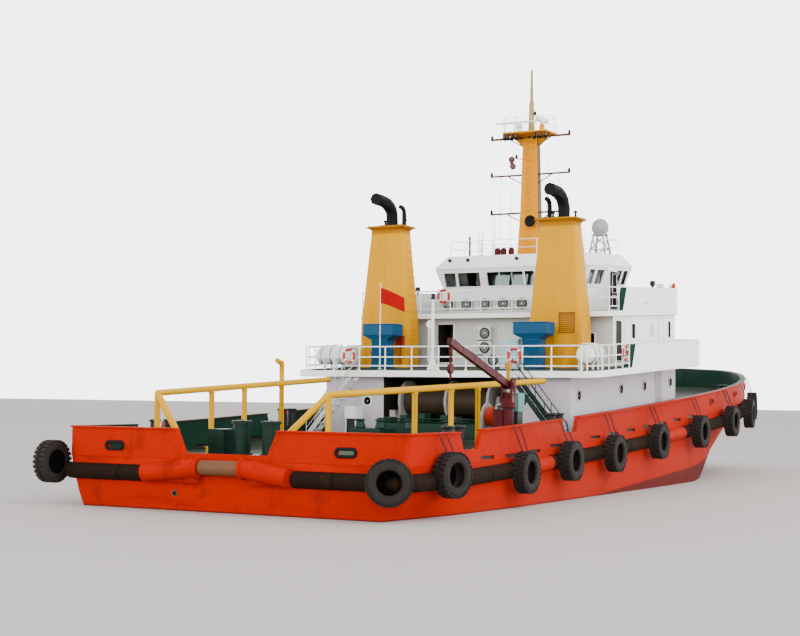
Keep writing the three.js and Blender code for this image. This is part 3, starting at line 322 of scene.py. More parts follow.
def hull_material():
    """Orange-red topsides, faded along the sides, over the dark boot-top."""
    material = painted("hull_orange_paint", HULL_ORANGE, stain=(0.14, 0.03, 0.01), wear=0.3, roughness=0.42,
                       gloss=0.01)
    add, shader, link, place = node_maker(material)
    x, y, z = add("ShaderNodeSeparateXYZ", {"Vector": place}).outputs
    topside = shader.inputs["Base Color"].links[0].from_socket
    # The sides are a duller, darker salmon than the transom
    topside = mixed(add, between(add, x, 0.4, 6.0, 0, 0.55), topside, SIDE_SALMON)
    # Patches that grow darker towards the waterline
    low_patches = colour_ramp(add, noise(add, place, 2.2, (0.4, 0.4, 1.6), 9, 0.75), [(0.5, 0), (0.66, 1)])
    low_patches = maths(add, "MULTIPLY", low_patches, between(add, z, 1.0, 0.0, 0, 0.5))
    topside = mixed(add, low_patches, topside, LOW_PATCH_RED)
    # Scraped and rusty patches on the transom below the belt
    patch = colour_ramp(add, noise(add, place, 1.7, (1, 1, 0.7), 9, 0.7), [(0.56, 0), (0.64, 1)])
    patch = maths(add, "MULTIPLY", patch, between(add, x, 0.25, 0.0, 0, 0.75))
    topside = mixed(add, patch, topside, SCRAPED)
    # Painted shade: the stays behind the bulwark show through it as a faint darker zigzag below the rail
    run = maths(add, "MAXIMUM", maths(add, "MULTIPLY_ADD", x, 2.0, -4.0), 0.0)
    sweep = maths(add, "MULTIPLY_ADD", run, maths(add, "MULTIPLY_ADD", run, 0.00036, 0.0165), 1.445)
    off_line = maths(add, "SUBTRACT", maths(add, "PINGPONG", x, 0.42), maths(add, "SUBTRACT", sweep, z))
    stays = between(add, maths(add, "ABSOLUTE", off_line), 0.02, 0.008, 0, 0.55)
    stays = maths(add, "MULTIPLY", stays, maths(add, "GREATER_THAN", x, 0.9))
    topside = mixed(add, stays, topside, STAY_SHADE)
    # The boot-top's edge rises by one part in eighteen from amidships
    rise = maths(add, "MULTIPLY", maths(add, "ADD", x, -8.0), 0.056)
    below = maths(add, "SUBTRACT", maths(add, "MAXIMUM", rise, 0.03), z)
    hull = mixed(add, between(add, below, -0.01, 0.02), topside, BOOT_TOP)
    normal = add("ShaderNodeSeparateXYZ", {"Vector": add("ShaderNodeNewGeometry").outputs["Normal"]})
    deck = between(add, normal.outputs["Z"], 0.8, 0.9)
    # The ledge outside the bulwark keeps the hull's colour
    for test, value, limit in (("GREATER_THAN", z, 0.85), ("GREATER_THAN", x, 0.07),
                               ("LESS_THAN", maths(add, "ABSOLUTE", y), 3.56)):
        deck = maths(add, "MULTIPLY", deck, maths(add, test, value, limit))
    worn = mixed(add, noise(add, place, 1.5), [c * 0.75 for c in DECK_PAINT], [c * 1.3 for c in DECK_PAINT])
    link(mixed(add, deck, hull, worn), shader.inputs["Base Color"])
    # Welds between the strakes, and between the plates along them
    wave = add("ShaderNodeTexWave", {"Vector": place, "Scale": 0.28})
    weld = colour_ramp(add, wave.outputs["Fac"], [(0.0, 1), (0.004, 0)])
    height = maths(add, "MULTIPLY", weld, maths(add, "FRACT", z))
    height = maths(add, "ADD", height, noise(add, place, 0.8, detail=2))
    bump = add("ShaderNodeBump", {"Strength": 0.6, "Distance": 0.012, "Height": height})
    link(bump.outputs[0], shader.inputs["Normal"])
    return material


orange_hull = hull_material()
dress("hull", orange_hull, bevel=0, sharp=32)

# Bulwark
# A steel wall round the deck, orange-red outside and dark green inside, with a flat rail on top. Brackets
# stiffen it inside at every frame, and the transom's fairleads have rounded lips.
GREEN = (0.004, 0.026, 0.015)
HALF_BEAM = 7.26
BULWARK_THICK = 0.18
dark_green = painted("dark_green_paint", GREEN, stain=(0.1, 0.06, 0.03), wear=0.15, streaks=0.2,
                     roughness=0.4)


def faces_inboard(face):
    """Picks the green inside of the bulwark."""
    centre, out = face.calc_center_median(), face.normal
    if abs(out.z) > 0.6:
        return 0
    inward = -centre.y * out.y if centre.x > 1 * MODEL_SCALE else out.x
    toward_bow = -out.x if centre.x > 40 * MODEL_SCALE else 0
    return 1 if inward + toward_bow > 0.1 else 0


dress("bulwark", [orange_hull, dark_green], bevel=0.025, paint_faces=faces_inboard)

# Rubber belt and tyres
# A round rubber fender in bolted lengths runs along the sheer strake. Nine worn truck tyres hang over it on
# each side, on chains from the rail, and one more lies against each quarter.
HULL_LENGTH = 50.0
BOW_START = 32.0
CORNER = 0.45
TRANSOM_DECK = 1.85
RAMP = (9.0, 14.0)


def rail_height(x):
    """Height of the bulwark's rail, which sweeps up towards the bow."""
    run = max(0, x - 4)
    return 2.89 + 0.033 * run + 0.00072 * run * run


def deck_half(x):
    """Half the deck's breadth."""
    if x < CORNER:
        return HALF_BEAM - CORNER + math.sqrt(max(0, CORNER**2 - (CORNER - x) ** 2))
    if x < BOW_START:
        return HALF_BEAM
    return HALF_BEAM * math.sqrt(max(0, 1 - ((x - BOW_START) / (HULL_LENGTH - BOW_START)) ** 2.2))


def deck_height(x):
    """The low after deck, the ramp up from it and the deck that follows the rail forward."""
    if x < RAMP[0]:
        return TRANSOM_DECK
    upper = rail_height(max(x, RAMP[1])) - 1.05
    if x < RAMP[1]:
        return TRANSOM_DECK + (upper - TRANSOM_DECK) * (x - RAMP[0]) / (RAMP[1] - RAMP[0])
    return upper


def side_points(start, end, inset=0.0, step=0.5):
    """The ship's side seen from above, moved inboard by an inset."""
    count = max(2, round((end - start) / step))
    line = []
    for i in range(count + 1):
        x = start + (end - start) * i / count
        lean = (deck_half(x + 0.05) - deck_half(x - 0.05)) / 0.1 if x > CORNER else 0
        length = math.hypot(1, lean)
        line.append((x + inset * lean / length, deck_half(x) - inset / length))
    return line


def box(shape, low, high, finish=0, turn=None):
    """A block between two corners, turned about its middle."""
    middle = [(a + b) / 2 for a, b in zip(low, high)]
    size = [abs(b - a) for a, b in zip(low, high)]
    place = Matrix.Translation(at(*middle))
    if turn:
        place = place @ turn.to_matrix().to_4x4()
    place = place @ Matrix.Diagonal((*[s * MODEL_SCALE for s in size], 1))
    made = bmesh.ops.create_cube(shape, size=1, matrix=place)["verts"]
    for face in {face for vert in made for face in vert.link_faces}:
        face.material_index = finish


def ring_of(shape, centre, across, up, radius, sides):
    return [shape.verts.new(centre + radius * (math.cos(a) * across + math.sin(a) * up))
            for a in angles(sides)]


def skin_rings(shape, rings, finish=0, closed=False):
    """Walls between rings of the same number of points, with flat ends unless they close on themselves."""
    pairs = list(zip(rings, rings[1:])) + ([(rings[-1], rings[0])] if closed else [])
    for lower, upper in pairs:
        for i in range(len(lower)):
            k = (i + 1) % len(lower)
            corners = (lower[i], lower[k], upper[k], upper[i])
            shape.faces.new(list(dict.fromkeys(corners))).material_index = finish
    if not closed:
        shape.faces.new(rings[0][::-1]).material_index = finish
        shape.faces.new(rings[-1]).material_index = finish


def tube(shape, points, radius, sides=8, finish=0, closed=False):
    """A round bar through points; radius is one value, or one for each point."""
    line = [at(*p) for p in points]
    count = len(line)
    rings = []
    across = None
    for i, point in enumerate(line):
        before = line[(i - 1) % count] if closed or i else point
        after = line[(i + 1) % count] if closed or i < count - 1 else point
        along = (after - before).normalized()
        if across is None:
            across = along.orthogonal().normalized()
        across = (across - along * across.dot(along)).normalized()
        size = (radius[i] if isinstance(radius, (list, tuple)) else radius) * MODEL_SCALE
        rings.append(ring_of(shape, point, across, along.cross(across), size, sides))
    skin_rings(shape, rings, finish, closed)


def post(shape, spot, low, high, radius, sides=8, finish=0):
    """An upright round bar."""
    tube(shape, [(*spot, low), (*spot, high)], radius, sides, finish)


def lathe(shape, centre, axis, profile, sides=24, finish=0, closed=False):
    """A turned form about an axis; its profile is (distance along the axis, radius) in order."""
    along = Vector(axis).normalized()
    across = along.orthogonal().normalized()
    up = along.cross(across)
    rings = [ring_of(shape, at(*centre) + along * (step * MODEL_SCALE), across, up,
                     max(radius, 0.0005) * MODEL_SCALE, sides) for step, radius in profile]
    skin_rings(shape, rings, finish, closed)


def new_piece(name, shape, materials, body="ship", bevel=0.0, sharp=SHARP):
    """Closes a shape that was made here and turns it into a piece."""
    bmesh.ops.recalc_face_normals(shape, faces=shape.faces)
    return as_piece(name, shape, materials, body, bevel, sharp)


TYRE_WIDTH = 0.52
BELT_DROP = 1.6
BELT_RADIUS = 0.3
STEEL_LENGTHS = ((9.7, 11.7), (25.1, 27.7))
RUBBER = (0.016, 0.013, 0.011)
# Distance of each tyre from the transom, and its height above the belt's middle
SIDE_TYRES = [(2.45, 0.22), (8.55, -0.1), (12.9, 0), (17.75, -0.08), (23.3, -0.02), (29.3, -0.06), (34.6, 0),
              (39.3, -0.02), (44.7, -0.12)]

# Middle and facing of the tyre at each quarter
QUARTER_TYRES = {"port": ((-0.28, 7.7, 1.6), (0, 1, 0)),
                 "starboard": ((-0.45, -6.9, 1.34), (-0.87, -0.49, 0))}

worn_rubber = painted("worn_rubber", RUBBER, stain=(0.11, 0.08, 0.055), wear=0.45, streaks=0.55,
                      roughness=0.78, grain=0.012)
belt_rubber = painted("belt_rubber", (0.013, 0.007, 0.004), stain=(0.09, 0.03, 0.012), wear=0.5, streaks=0.5,
                      roughness=0.8, grain=0.012, gloss=0.06)
tyre_hole_shade = painted("tyre_hole_shade", (0.003, 0.003, 0.003), wear=0.0, streaks=0.0, roughness=0.95, gloss=0.0)
black_steel = painted("black_steel_paint", (0.012, 0.012, 0.013), wear=0.4,
                      streaks=0.25, roughness=0.42)


def hung_tyre(shape, centre, out, shade_disc=False):
    """A truck tyre with tread blocks and a hollow middle, which may have a near-black disc behind it as
    painted shade.
    """
    half = TYRE_WIDTH / 2
    profile = [(-0.7 * half, 0.42), (-0.95 * half, 0.47), (-half, 0.6), (-0.92 * half, 0.7),
               (-0.74 * half, 0.755), (0.74 * half, 0.755), (0.92 * half, 0.7), (half, 0.6),
               (0.95 * half, 0.47), (0.7 * half, 0.42), (0.5 * half, 0.5), (0.35 * half, 0.64),
               (-0.35 * half, 0.64), (-0.5 * half, 0.5)]
    lathe(shape, centre, out, profile, 32, finish=1, closed=True)
    # Painted shade: a near-black disc stands behind the hollow middle
    if shade_disc:
        disc = [(-0.9 * half, 0.03), (-0.9 * half, 0.48), (-0.78 * half, 0.48), (-0.78 * half, 0.03)]
        lathe(shape, centre, out, disc, finish=4, closed=True)
    along = Vector(out).normalized()
    across = along.orthogonal().normalized()
    up = along.cross(across)
    blocks = 26
    for i in range(blocks):
        for row in (-1, 1):
            angle = (i + 0.25 * row) * math.tau / blocks
            radial = math.cos(angle) * across + math.sin(angle) * up
            middle = Vector(centre) + radial * 0.772 + along * (row * 0.52 * half)
            turn = turn_to(radial, along.cross(radial), along)
            size = Vector((0.055, 0.13, 0.84 * half))
            box(shape, middle - size / 2, middle + size / 2, 1, turn)


def belt(shape, side):
    """The fender's outline carried along the side, with a gap ring at every joint between lengths."""
    rings = []
    start = 3.42 if side > 0 else 2.95
    points = [(0.0, y) for y in (start, 4.0, 4.6, 5.2, 5.8, 6.3, 6.78)] + side_points(0.02, 48.6, step=0.4)
    last = len(points) - 1
    for i, (x, y) in enumerate(points):
        (x0, y0), (x1, y1) = points[max(0, i - 1)], points[min(last, i + 1)]
        length = math.hypot(x1 - x0, y1 - y0)
        out = Vector((-(y1 - y0) / length, (x1 - x0) / length, 0))
        middle = rail_height(x) - BELT_DROP
        groove = [(1.0, -0.04), (0.86, -0.02), (0.86, 0.02), (1.0, 0.04)]
        for grow, step in groove if i % 5 == 2 else [(1.0, 0.0)]:
            shift = Vector(((x1 - x0) / length, (y1 - y0) / length, 0)) * step
            section = []
            for k in range(9):
                angle = -math.pi / 2 + k * math.pi / 8
                reach = BELT_RADIUS * grow * math.cos(angle) * 1.03 + 0.012
                point = Vector((x, y, middle + BELT_RADIUS * grow * math.sin(angle))) + out * reach + shift
                section.append(shape.verts.new(at(point.x, side * point.y, point.z)))
            back = Vector((x, y, middle)) - out * 0.12 + shift
            for level in (BELT_RADIUS * grow, -BELT_RADIUS * grow):
                section.append(shape.verts.new(at(back.x, side * back.y, middle + level)))
            rings.append(section)
    skin_rings(shape, rings)
    # Two lengths abeam are steel, painted with the hull
    for face in shape.faces:
        x = face.calc_center_median().x / MODEL_SCALE
        if any(low < x < high for low, high in STEEL_LENGTHS):
            face.material_index = 3


LINK = 0.14


def hanging_chain(shape, top, bottom):
    """Open links from the rail down to a tyre, each turned a quarter from the one before."""
    run = Vector(bottom) - Vector(top)
    along = run.normalized()
    across = along.orthogonal().normalized()
    count = max(2, round(run.length / (LINK * 0.74)))
    for i in range(count):
        wide = across if i % 2 else along.cross(across)
        middle = Vector(top) + run * ((i + 0.5) / count)
        loop = [middle + along * (LINK * 0.5 * math.cos(a)) + wide * (0.04 * math.sin(a)) for a in angles(8)]
        tube(shape, loop, 0.012, 4, 2, closed=True)


for side, sign in SIDES:
    shape = bmesh.new()
    belt(shape, sign)
    away = BELT_RADIUS + TYRE_WIDTH / 2 - 0.06
    for x, rise in SIDE_TYRES:
        lean = (deck_half(x + 0.06) - deck_half(x - 0.06)) / 0.12
        out = Vector((-lean, 1, 0)).normalized()
        centre = Vector((x, deck_half(x), rail_height(x) - BELT_DROP + rise)) + out * away
        flip = Vector((1, sign, 1))
        # The aftermost tyre has swung a little towards the stern
        facing = Vector((-0.2, 0.98, 0)).normalized() if x < 3 else out
        # The aftermost and quarter tyres get the painted shade disc in their holes
        hung_tyre(shape, centre * flip, facing * flip, shade_disc=x < 3)
        for spread in (-0.28, 0.28):
            foot = centre + Vector((spread * 0.8, 0, 0.6))
            head = Vector((x + spread, deck_half(x), rail_height(x) + 0.02)) + out * 0.09
            hanging_chain(shape, head * flip, foot * flip)
    hung_tyre(shape, *QUARTER_TYRES[side], shade_disc=True)
    piece = new_piece(f"fenders_{side}_finished", shape,
                      [belt_rubber, worn_rubber, black_steel, orange_hull, tyre_hole_shade],
                      sharp=40)
    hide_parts(f"fenders_{side}")


# Flaps in the freeing ports
# Each slot low in the bulwark is closed by a dark hinged plate that swings outward.
shape = bmesh.new()
for sign in (-1, 1):
    for x in [6.2 + 2.1 * k for k in range(12)]:
        if abs(x - 13.95) <= 0.9:
            continue
        low = deck_height(x) + 0.06
        y = sign * (deck_half(x) - 0.09)
        box(shape, (x - 0.545, y - 0.01, low + 0.008), (x + 0.545, y + 0.01, low + 0.124))
        tube(shape, [(x - 0.55, y, low + 0.112), (x + 0.55, y, low + 0.112)], 0.014, 6)
new_piece("freeing_port_flaps", shape, black_steel)

# Brackets inside the bulwark
# Flat steel triangles stand at every frame, welded to the deck and to the bulwark's inner face.
def path_tree():
    """Geometry Nodes: copies of an item at even spaces along a path, its Z axis along it, its X level."""
    tree = bpy.data.node_groups.new("items along a path", "GeometryNodeTree")
    sockets = [("Path", "Geometry"), ("Item", "Object"), ("Pitch", "Float"), ("Finish", "Material")]
    for name, kind in sockets:
        tree.interface.new_socket(name, in_out="INPUT", socket_type=f"NodeSocket{kind}")
    tree.interface.new_socket("Items", in_out="OUTPUT", socket_type="NodeSocketGeometry")

    add = adder(tree)
    given = add("NodeGroupInput").outputs
    curve = add("GeometryNodeMeshToCurve", {"Mesh": given["Path"]}).outputs["Curve"]
    level = add("GeometryNodeSetCurveNormal", {"Curve": curve}, mode="Z_UP").outputs["Curve"]
    points = add("GeometryNodeCurveToPoints", {"Curve": level, "Length": given["Pitch"]},
                 mode="LENGTH").outputs
    item = add("GeometryNodeObjectInfo", {"Object": given["Item"]}).outputs["Geometry"]
    copies = add("GeometryNodeInstanceOnPoints", {"Points": points["Points"], "Instance": item,
                                                  "Rotation": points["Rotation"]}).outputs["Instances"]
    whole = add("GeometryNodeRealizeInstances", {"Geometry": copies}).outputs["Geometry"]
    painted_whole = add("GeometryNodeSetMaterial", {"Geometry": whole,
                                                    "Material": given["Finish"]}).outputs["Geometry"]
    add("NodeGroupOutput", {"Items": painted_whole})
    return tree


items_along = path_tree()


def item_mesh(name, shape):
    """Keeps a small shape as a hidden object that a tree copies."""
    bmesh.ops.recalc_face_normals(shape, faces=shape.faces)
    mesh = bpy.data.meshes.new(name)
    shape.to_mesh(mesh)
    shape.free()
    return bpy.data.objects.new(name, mesh)


def along_paths(name, path, item, pitch, finish):
    """One piece made of an item repeated along a path."""
    line = bpy.data.meshes.new(name)
    line.from_pydata([at(*p) for p in path], [(i, i + 1) for i in range(len(path) - 1)], [])
    holder = bpy.data.objects.new(name, line)
    bpy.context.scene.collection.objects.link(holder)
    repeat = holder.modifiers.new("items", "NODES")
    repeat.node_group = items_along
    named = {s.name: s.identifier for s in items_along.interface.items_tree if s.in_out == "INPUT"}
    repeat[named["Item"]] = item
    repeat[named["Pitch"]] = pitch * MODEL_SCALE
    repeat[named["Finish"]] = finish
    seen = bpy.context.evaluated_depsgraph_get()
    mesh = bpy.data.meshes.new_from_object(holder.evaluated_get(seen))
    bpy.data.objects.remove(holder)
    mesh.name = name
    return placed(name, mesh, "ship", SHARP)


STAY_PITCH = 0.76
STAY_HEIGHT = 0.86
STAY_REACH = 0.36
STAY_THICK = 0.014


def bracket(side):
    """A triangular plate whose upright edge stands on the path."""
    shape = bmesh.new()
    outline = [(0, 0), (side * STAY_REACH, 0), (side * 0.06, STAY_HEIGHT), (0, STAY_HEIGHT)]
    rings = [[shape.verts.new(at(x, y, z)) for x, y in outline] for z in (-STAY_THICK, STAY_THICK)]
    skin_rings(shape, rings)
    return item_mesh(f"bracket_{side}", shape)


for side, sign in SIDES:
    inner = side_points(1.0, 47.4, inset=BULWARK_THICK + 0.005, step=0.38)
    path = [(x, sign * y, deck_height(x) + 0.01) for x, y in inner]
    along_paths(f"bulwark_brackets_{side}", path, bracket(sign), STAY_PITCH, dark_green)

# Working deck
# Worn hardwood sheathing lies on the steel deck between its cargo rails. The guide-post casing, the posts
# and the box beside them are welded plate.
SHEATHING = (3.2, 8.9, -3.4, 3.4, 1.92)
PLANK = (0.24, 0.05)
# Pale grey-green deck paint over planks, scraped through to the wood in places
sheathing = painted("sheathing_paint", (0.09, 0.11, 0.078), stain=(0.16, 0.1, 0.055), wear=0.8,
                    roughness=0.95, grain=0.006, gloss=0.0)
shape = bmesh.new()
x0, x1, y0, y1, top = SHEATHING
plank = (y1 - y0) / round((y1 - y0) / PLANK[0])
for i in range(round((y1 - y0) / plank)):
    low = y0 + i * plank
    joint = x0 + 1.6 + 2.3 * ((i * 0.618) % 1)
    for start, end in ((x0, joint), (joint + 0.008, x1)):
        box(shape, (start, low + 0.006, top - PLANK[1]), (end, low + plank - 0.006, top + 0.004))
box(shape, (x0 - 0.02, y0 - 0.02, 1.855), (x1 + 0.02, y1 + 0.02, top - 0.02))
planks = new_piece("work_deck_planks", shape, sheathing)
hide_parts("work_deck")

mid_green = painted("green_deck_paint", (0.004, 0.02, 0.012), stain=(0.06, 0.035, 0.02), wear=0.35,
                    streaks=0.5, roughness=0.4, gloss=0.12)
dress("tow_pins", mid_green, bevel=0.03)
shape = bmesh.new()
for x, y in ((2.05, -0.56), (2.05, 0.72)):
    lathe(shape, (x, y, 1.99), UP, [(0, 0.42), (0.05, 0.42), (0.09, 0.35)])
    lathe(shape, (x, y, 3.2), UP, [(0, 0.37), (0.025, 0.36), (0.035, 0.2), (0.035, 0.06), (0.06, 0.05)], 24,
          1)
    for angle in angles(8):
        tube(shape, [(x + 0.3 * math.cos(angle), y + 0.3 * math.sin(angle), z) for z in (3.2, 3.235)], 0.03,
             6)
for z in (2.25, 2.62):
    box(shape, (1.635, 1.24, z), (2.51, 1.96, z + 0.03))
box(shape, (1.64, 1.38, 2.2), (1.652, 1.82, 2.75))
post(shape, (1.6, 1.72), 2.4, 2.52, 0.02, 6, 1)
new_piece("tow_pins_lids", shape, [mid_green, black_steel], bevel=0.008)

# Stern roller
# A hollow steel roller worn bright and rusty by towing wire. It turns in the flared ends of two plated
# fairings.
rusty_steel = painted("worn_roller_steel", (0.13, 0.055, 0.022), stain=(0.26, 0.15, 0.08), wear=0.7,
                      streaks=0.2, roughness=0.5, grain=0.006)
ROLLER = (-0.28, 0.0, 1.59)
shape = bmesh.new()
half = 0.899
profile = [(-half, 0.09), (-half + 0.06, 0.09), (-half + 0.061, 0.25), (-half + 0.08, 0.262)]
for i in range(-6, 7):
    profile += [(i * 0.12 - 0.02, 0.262), (i * 0.12, 0.257), (i * 0.12 + 0.02, 0.262)]
profile += [(half - 0.08, 0.262), (half - 0.061, 0.25), (half - 0.06, 0.09), (half, 0.09)]
lathe(shape, ROLLER, (0, 1, 0), profile, 40)
roller = new_piece("stern_roller_worn", shape, rusty_steel, body="stern_roller",
                   sharp=25)
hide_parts("stern_roller")

shape = bmesh.new()
for sign, end in ((1, 3.35), (-1, 2.85)):
    lathe(shape, (ROLLER[0], sign * 0.925, ROLLER[2]), (0, sign, 0),
          [(0, 0.3), (0.0, 0.375), (0.05, 0.385), (0.09, 0.31)], 32)
    lathe(shape, (ROLLER[0], sign * 1.44, ROLLER[2] - 0.035), (0, sign, -0.1),
          [(0, 0.355), (0.02, 0.372), (0.08, 0.372), (0.1, 0.355)], 32)
    lathe(shape, (ROLLER[0], sign * (end - 0.12), ROLLER[2] - 0.245), (0, sign, -0.1),
          [(0, 0.33), (0.01, 0.352), (0.1, 0.352), (0.11, 0.33)], 32)
new_piece("roller_fairing_rings", shape, orange_hull, bevel=0.01)

# Cargo rails
# Thick steel pipe on posts keeps the deck cargo off the bulwark. It is painted yellow, scraped bare in
# places, with gussets at the feet of the posts and rings where they meet the rail.
YELLOW = (0.6, 0.3, 0.0)
rail_yellow = painted("cargo_rail_yellow", YELLOW, stain=(0.24, 0.08, 0.02), wear=0.35, roughness=0.42,
                      gloss=0.05)
for side in ("port", "starboard"):
    dress(f"cargo_rail_{side}", rail_yellow, bevel=0, sharp=50)
RAIL_AFT = (0.87, 3.71, 4.2)
RAIL_FRONT = (15.5, 5.35, 4.85)
# Half the thickness of a gusset
GUSSET = 0.012
shape = bmesh.new()
for sign, stations in ((1, (4.87, 7.55, 10.86)), (-1, (6.06, 8.5, 10.4))):
    for x in stations:
        t = (x - RAIL_AFT[0]) / (RAIL_FRONT[0] - RAIL_AFT[0])
        y, z = (a + t * (b - a) for a, b in zip(RAIL_AFT[1:], RAIL_FRONT[1:]))
        lathe(shape, (x, sign * y, z - 0.2), UP, [(0, 0.112), (0.02, 0.125), (0.07, 0.125), (0.09, 0.112)],
              20)
        for dx, dy in ((-1, 0), (1, 0), (0, -1), (0, 1)):
            low = (x + dx * 0.25 - abs(dy) * GUSSET, sign * y + dy * 0.25 - abs(dx) * GUSSET, 1.9)
            high = (x + dx * 0.1 + abs(dy) * GUSSET, sign * y + dy * 0.1 + abs(dx) * GUSSET, 2.12)
            box(shape, low, high)
    x, y, z = RAIL_FRONT
    lathe(shape, (x - 0.02, sign * y, z), (1, 0, 0.04),
          [(0, 0.12), (0.0, 0.135), (0.03, 0.135), (0.04, 0.05)], 20)
new_piece("cargo_rail_fittings", shape, rail_yellow, bevel=0.006)

# Bitts
# Pairs of thick-walled posts with rolled caps, welded to a base plate inside notches of the bulwark.
BITTS_Y = 6.56
for name, middle, spread in (("bitts_aft", 4.84, 0.9), ("bitts_mid", 13.95, 0.76)):
    for side, sign in SIDES:
        shape = bmesh.new()
        floor_z = deck_height(middle)
        y = sign * BITTS_Y
        for end in (-1, 1):
            profile = [(0.0, 0.21), (0.14, 0.21), (0.16, 0.19), (1.18, 0.19), (1.2, 0.225), (1.22, 0.24),
                       (1.27, 0.24), (1.29, 0.22), (1.29, 0.05)]
            lathe(shape, (middle + end * spread / 2, y, floor_z), UP, profile, 28)
        low = (middle - spread / 2 - 0.33, y - 0.3, floor_z + 0.002)
        box(shape, low, (middle + spread / 2 + 0.33, y + 0.3, floor_z + 0.13))
        for end in (-1, 0, 1):
            box(shape, (middle + end * spread / 2 - 0.015, y - 0.3, floor_z + 0.12),
                (middle + end * spread / 2 + 0.015, y + 0.3, floor_z + 0.3))
        bitts = new_piece(f"{name}_{side}_finished", shape, black_steel, bevel=0.012)
        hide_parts(f"{name}_{side}")

# Deck crane
# A maroon hydraulic crane on a bolted post. Its boom is a box beam with a sheave at the tip. A maroon hook
# block hangs from it, and hoses run along the boom.
MAROON = (0.065, 0.005, 0.007)
maroon = painted("maroon_crane_paint", MAROON, stain=(0.13, 0.03, 0.02), wear=0.5, streaks=0.35,
                 roughness=0.4, gloss=0.1)
crane_yellow = painted("brassy_yellow", (0.36, 0.19, 0.01), stain=(0.12, 0.06, 0.02), wear=0.6,
                       roughness=0.4, gloss=0.1)
teal = painted("teal_cabinet_paint", (0.07, 0.2, 0.19), stain=(0.1, 0.06, 0.03), wear=0.3, roughness=0.4)
for node in ("crane_post", "crane_column", "crane_boom"):
    dress(node, maroon)
dress("crane_hook", maroon, bevel=0.006)
CRANE = (10.0, -6.3)
PIVOT = 4.62
TIP = (5.05, 6.15)
x, y = CRANE
shape = bmesh.new()
for angle in angles(12):
    for reach, low, high, radius in ((0.34, 1.93, 1.99, 0.03), (0.265, 3.72, 3.77, 0.024)):
        spot = (x + reach * math.cos(angle), y + reach * math.sin(angle))
        post(shape, spot, low, high, radius, 6)
for z in (2.98, 3.64):
    box(shape, (x - 0.22, y + 0.14, z), (x + 0.22, y + 0.58, z + 0.03))
for k in range(5):
    spot = x - 0.14 + k * 0.07
    tube(shape, [(spot, y + 0.4, 3.66), (spot, y + 0.4, 3.78), (spot, y + 0.4, 3.84)],
         [0.012, 0.012, 0.025], 6)
    tube(shape, [(spot, y + 0.3, 3.0), (spot - 0.03, y + 0.45, 2.6), (spot - 0.06, y + 0.3, 2.2),
                 (spot - 0.1, y + 0.24, 1.92)], 0.014, 6)
new_piece("crane_post_bolts_and_hoses", shape, black_steel)

shape = bmesh.new()
for sign in (-1, 1):
    lathe(shape, (x, y + sign * 0.241, PIVOT), (0, sign, 0),
          [(0, 0.15), (0.03, 0.15), (0.035, 0.09), (0.05, 0.08)], 20)
    for z in (PIVOT - 0.35, PIVOT - 0.2):
        for spot in (x - 0.1, x + 0.1):
            tube(shape, [(spot, y + sign * reach, z) for reach in (0.24, 0.262)], 0.03, 6)
box(shape, (x - 0.1, y - 0.14, 4.05), (x + 0.16, y + 0.14, 4.36))
new_piece("crane_column_pins", shape, maroon, body="crane_column", bevel=0.006)

shape = bmesh.new()
reach = Vector((TIP[0] - x, 0, TIP[1] - PIVOT))
along = reach.normalized()
above = Vector((-along.z, 0, along.x)) * (-1 if along.x < 0 else 1)
root = Vector((x, y, PIVOT))
for step in (0.35, 1.3, 2.3, 3.3, 4.3):
    middle = root + along * step
    athwart = Vector((0, 1, 0))
    turn = turn_to(along, athwart, along.cross(athwart))
    size = Vector((0.05, 0.2, 0.28))
    box(shape, middle - size / 2, middle + size / 2, 0, turn)
for lane in (-0.05, 0.0, 0.05):
    hose = [root + along * step + above * (0.16 + 0.02 * math.sin(step * 3 + lane * 40))
            + Vector((0, lane, 0)) for step in (0.25, 0.8, 1.4, 2.0, 2.6, 3.2, 3.8, 4.4, 5.0)]
    tube(shape, hose, 0.016, 6, 1)
lathe(shape, (TIP[0] - 0.02, y - 0.06, TIP[1]), (0, 1, 0), [(0, 0.1), (0.0, 0.14), (0.03, 0.11), (0.09, 0.11),
                                                            (0.12, 0.14), (0.12, 0.1)], 20, 1)
# A brass-coloured cylinder with its valve block stands on the boom's root
post(shape, (x - 0.02, y), 4.72, 5.3, 0.085, 14, 2)
box(shape, (x - 0.12, y - 0.11, 5.28), (x + 0.1, y + 0.11, 5.5), 2)
post(shape, (x - 0.02, y), 5.5, 5.62, 0.04, 8, 2)
new_piece("crane_boom_fittings", shape, [maroon, black_steel, crane_yellow], body="crane_boom")

# The crane's control cabinet stands on a dark frame forward of the post
shape = bmesh.new()
box(shape, (10.75, -6.38, 3.6), (11.35, -5.78, 4.34))
box(shape, (10.73, -6.33, 3.65), (10.75, -5.83, 4.29))
box(shape, (10.8, -6.33, 2.35), (11.3, -5.83, 3.61), 1)
for spot in ((10.82, -6.31), (11.28, -6.31), (10.82, -5.85), (11.28, -5.85)):
    post(shape, spot, 1.95, 2.5, 0.035, 6, 1)
new_piece("deck_cabinet", shape, [teal, black_steel], bevel=0.02)

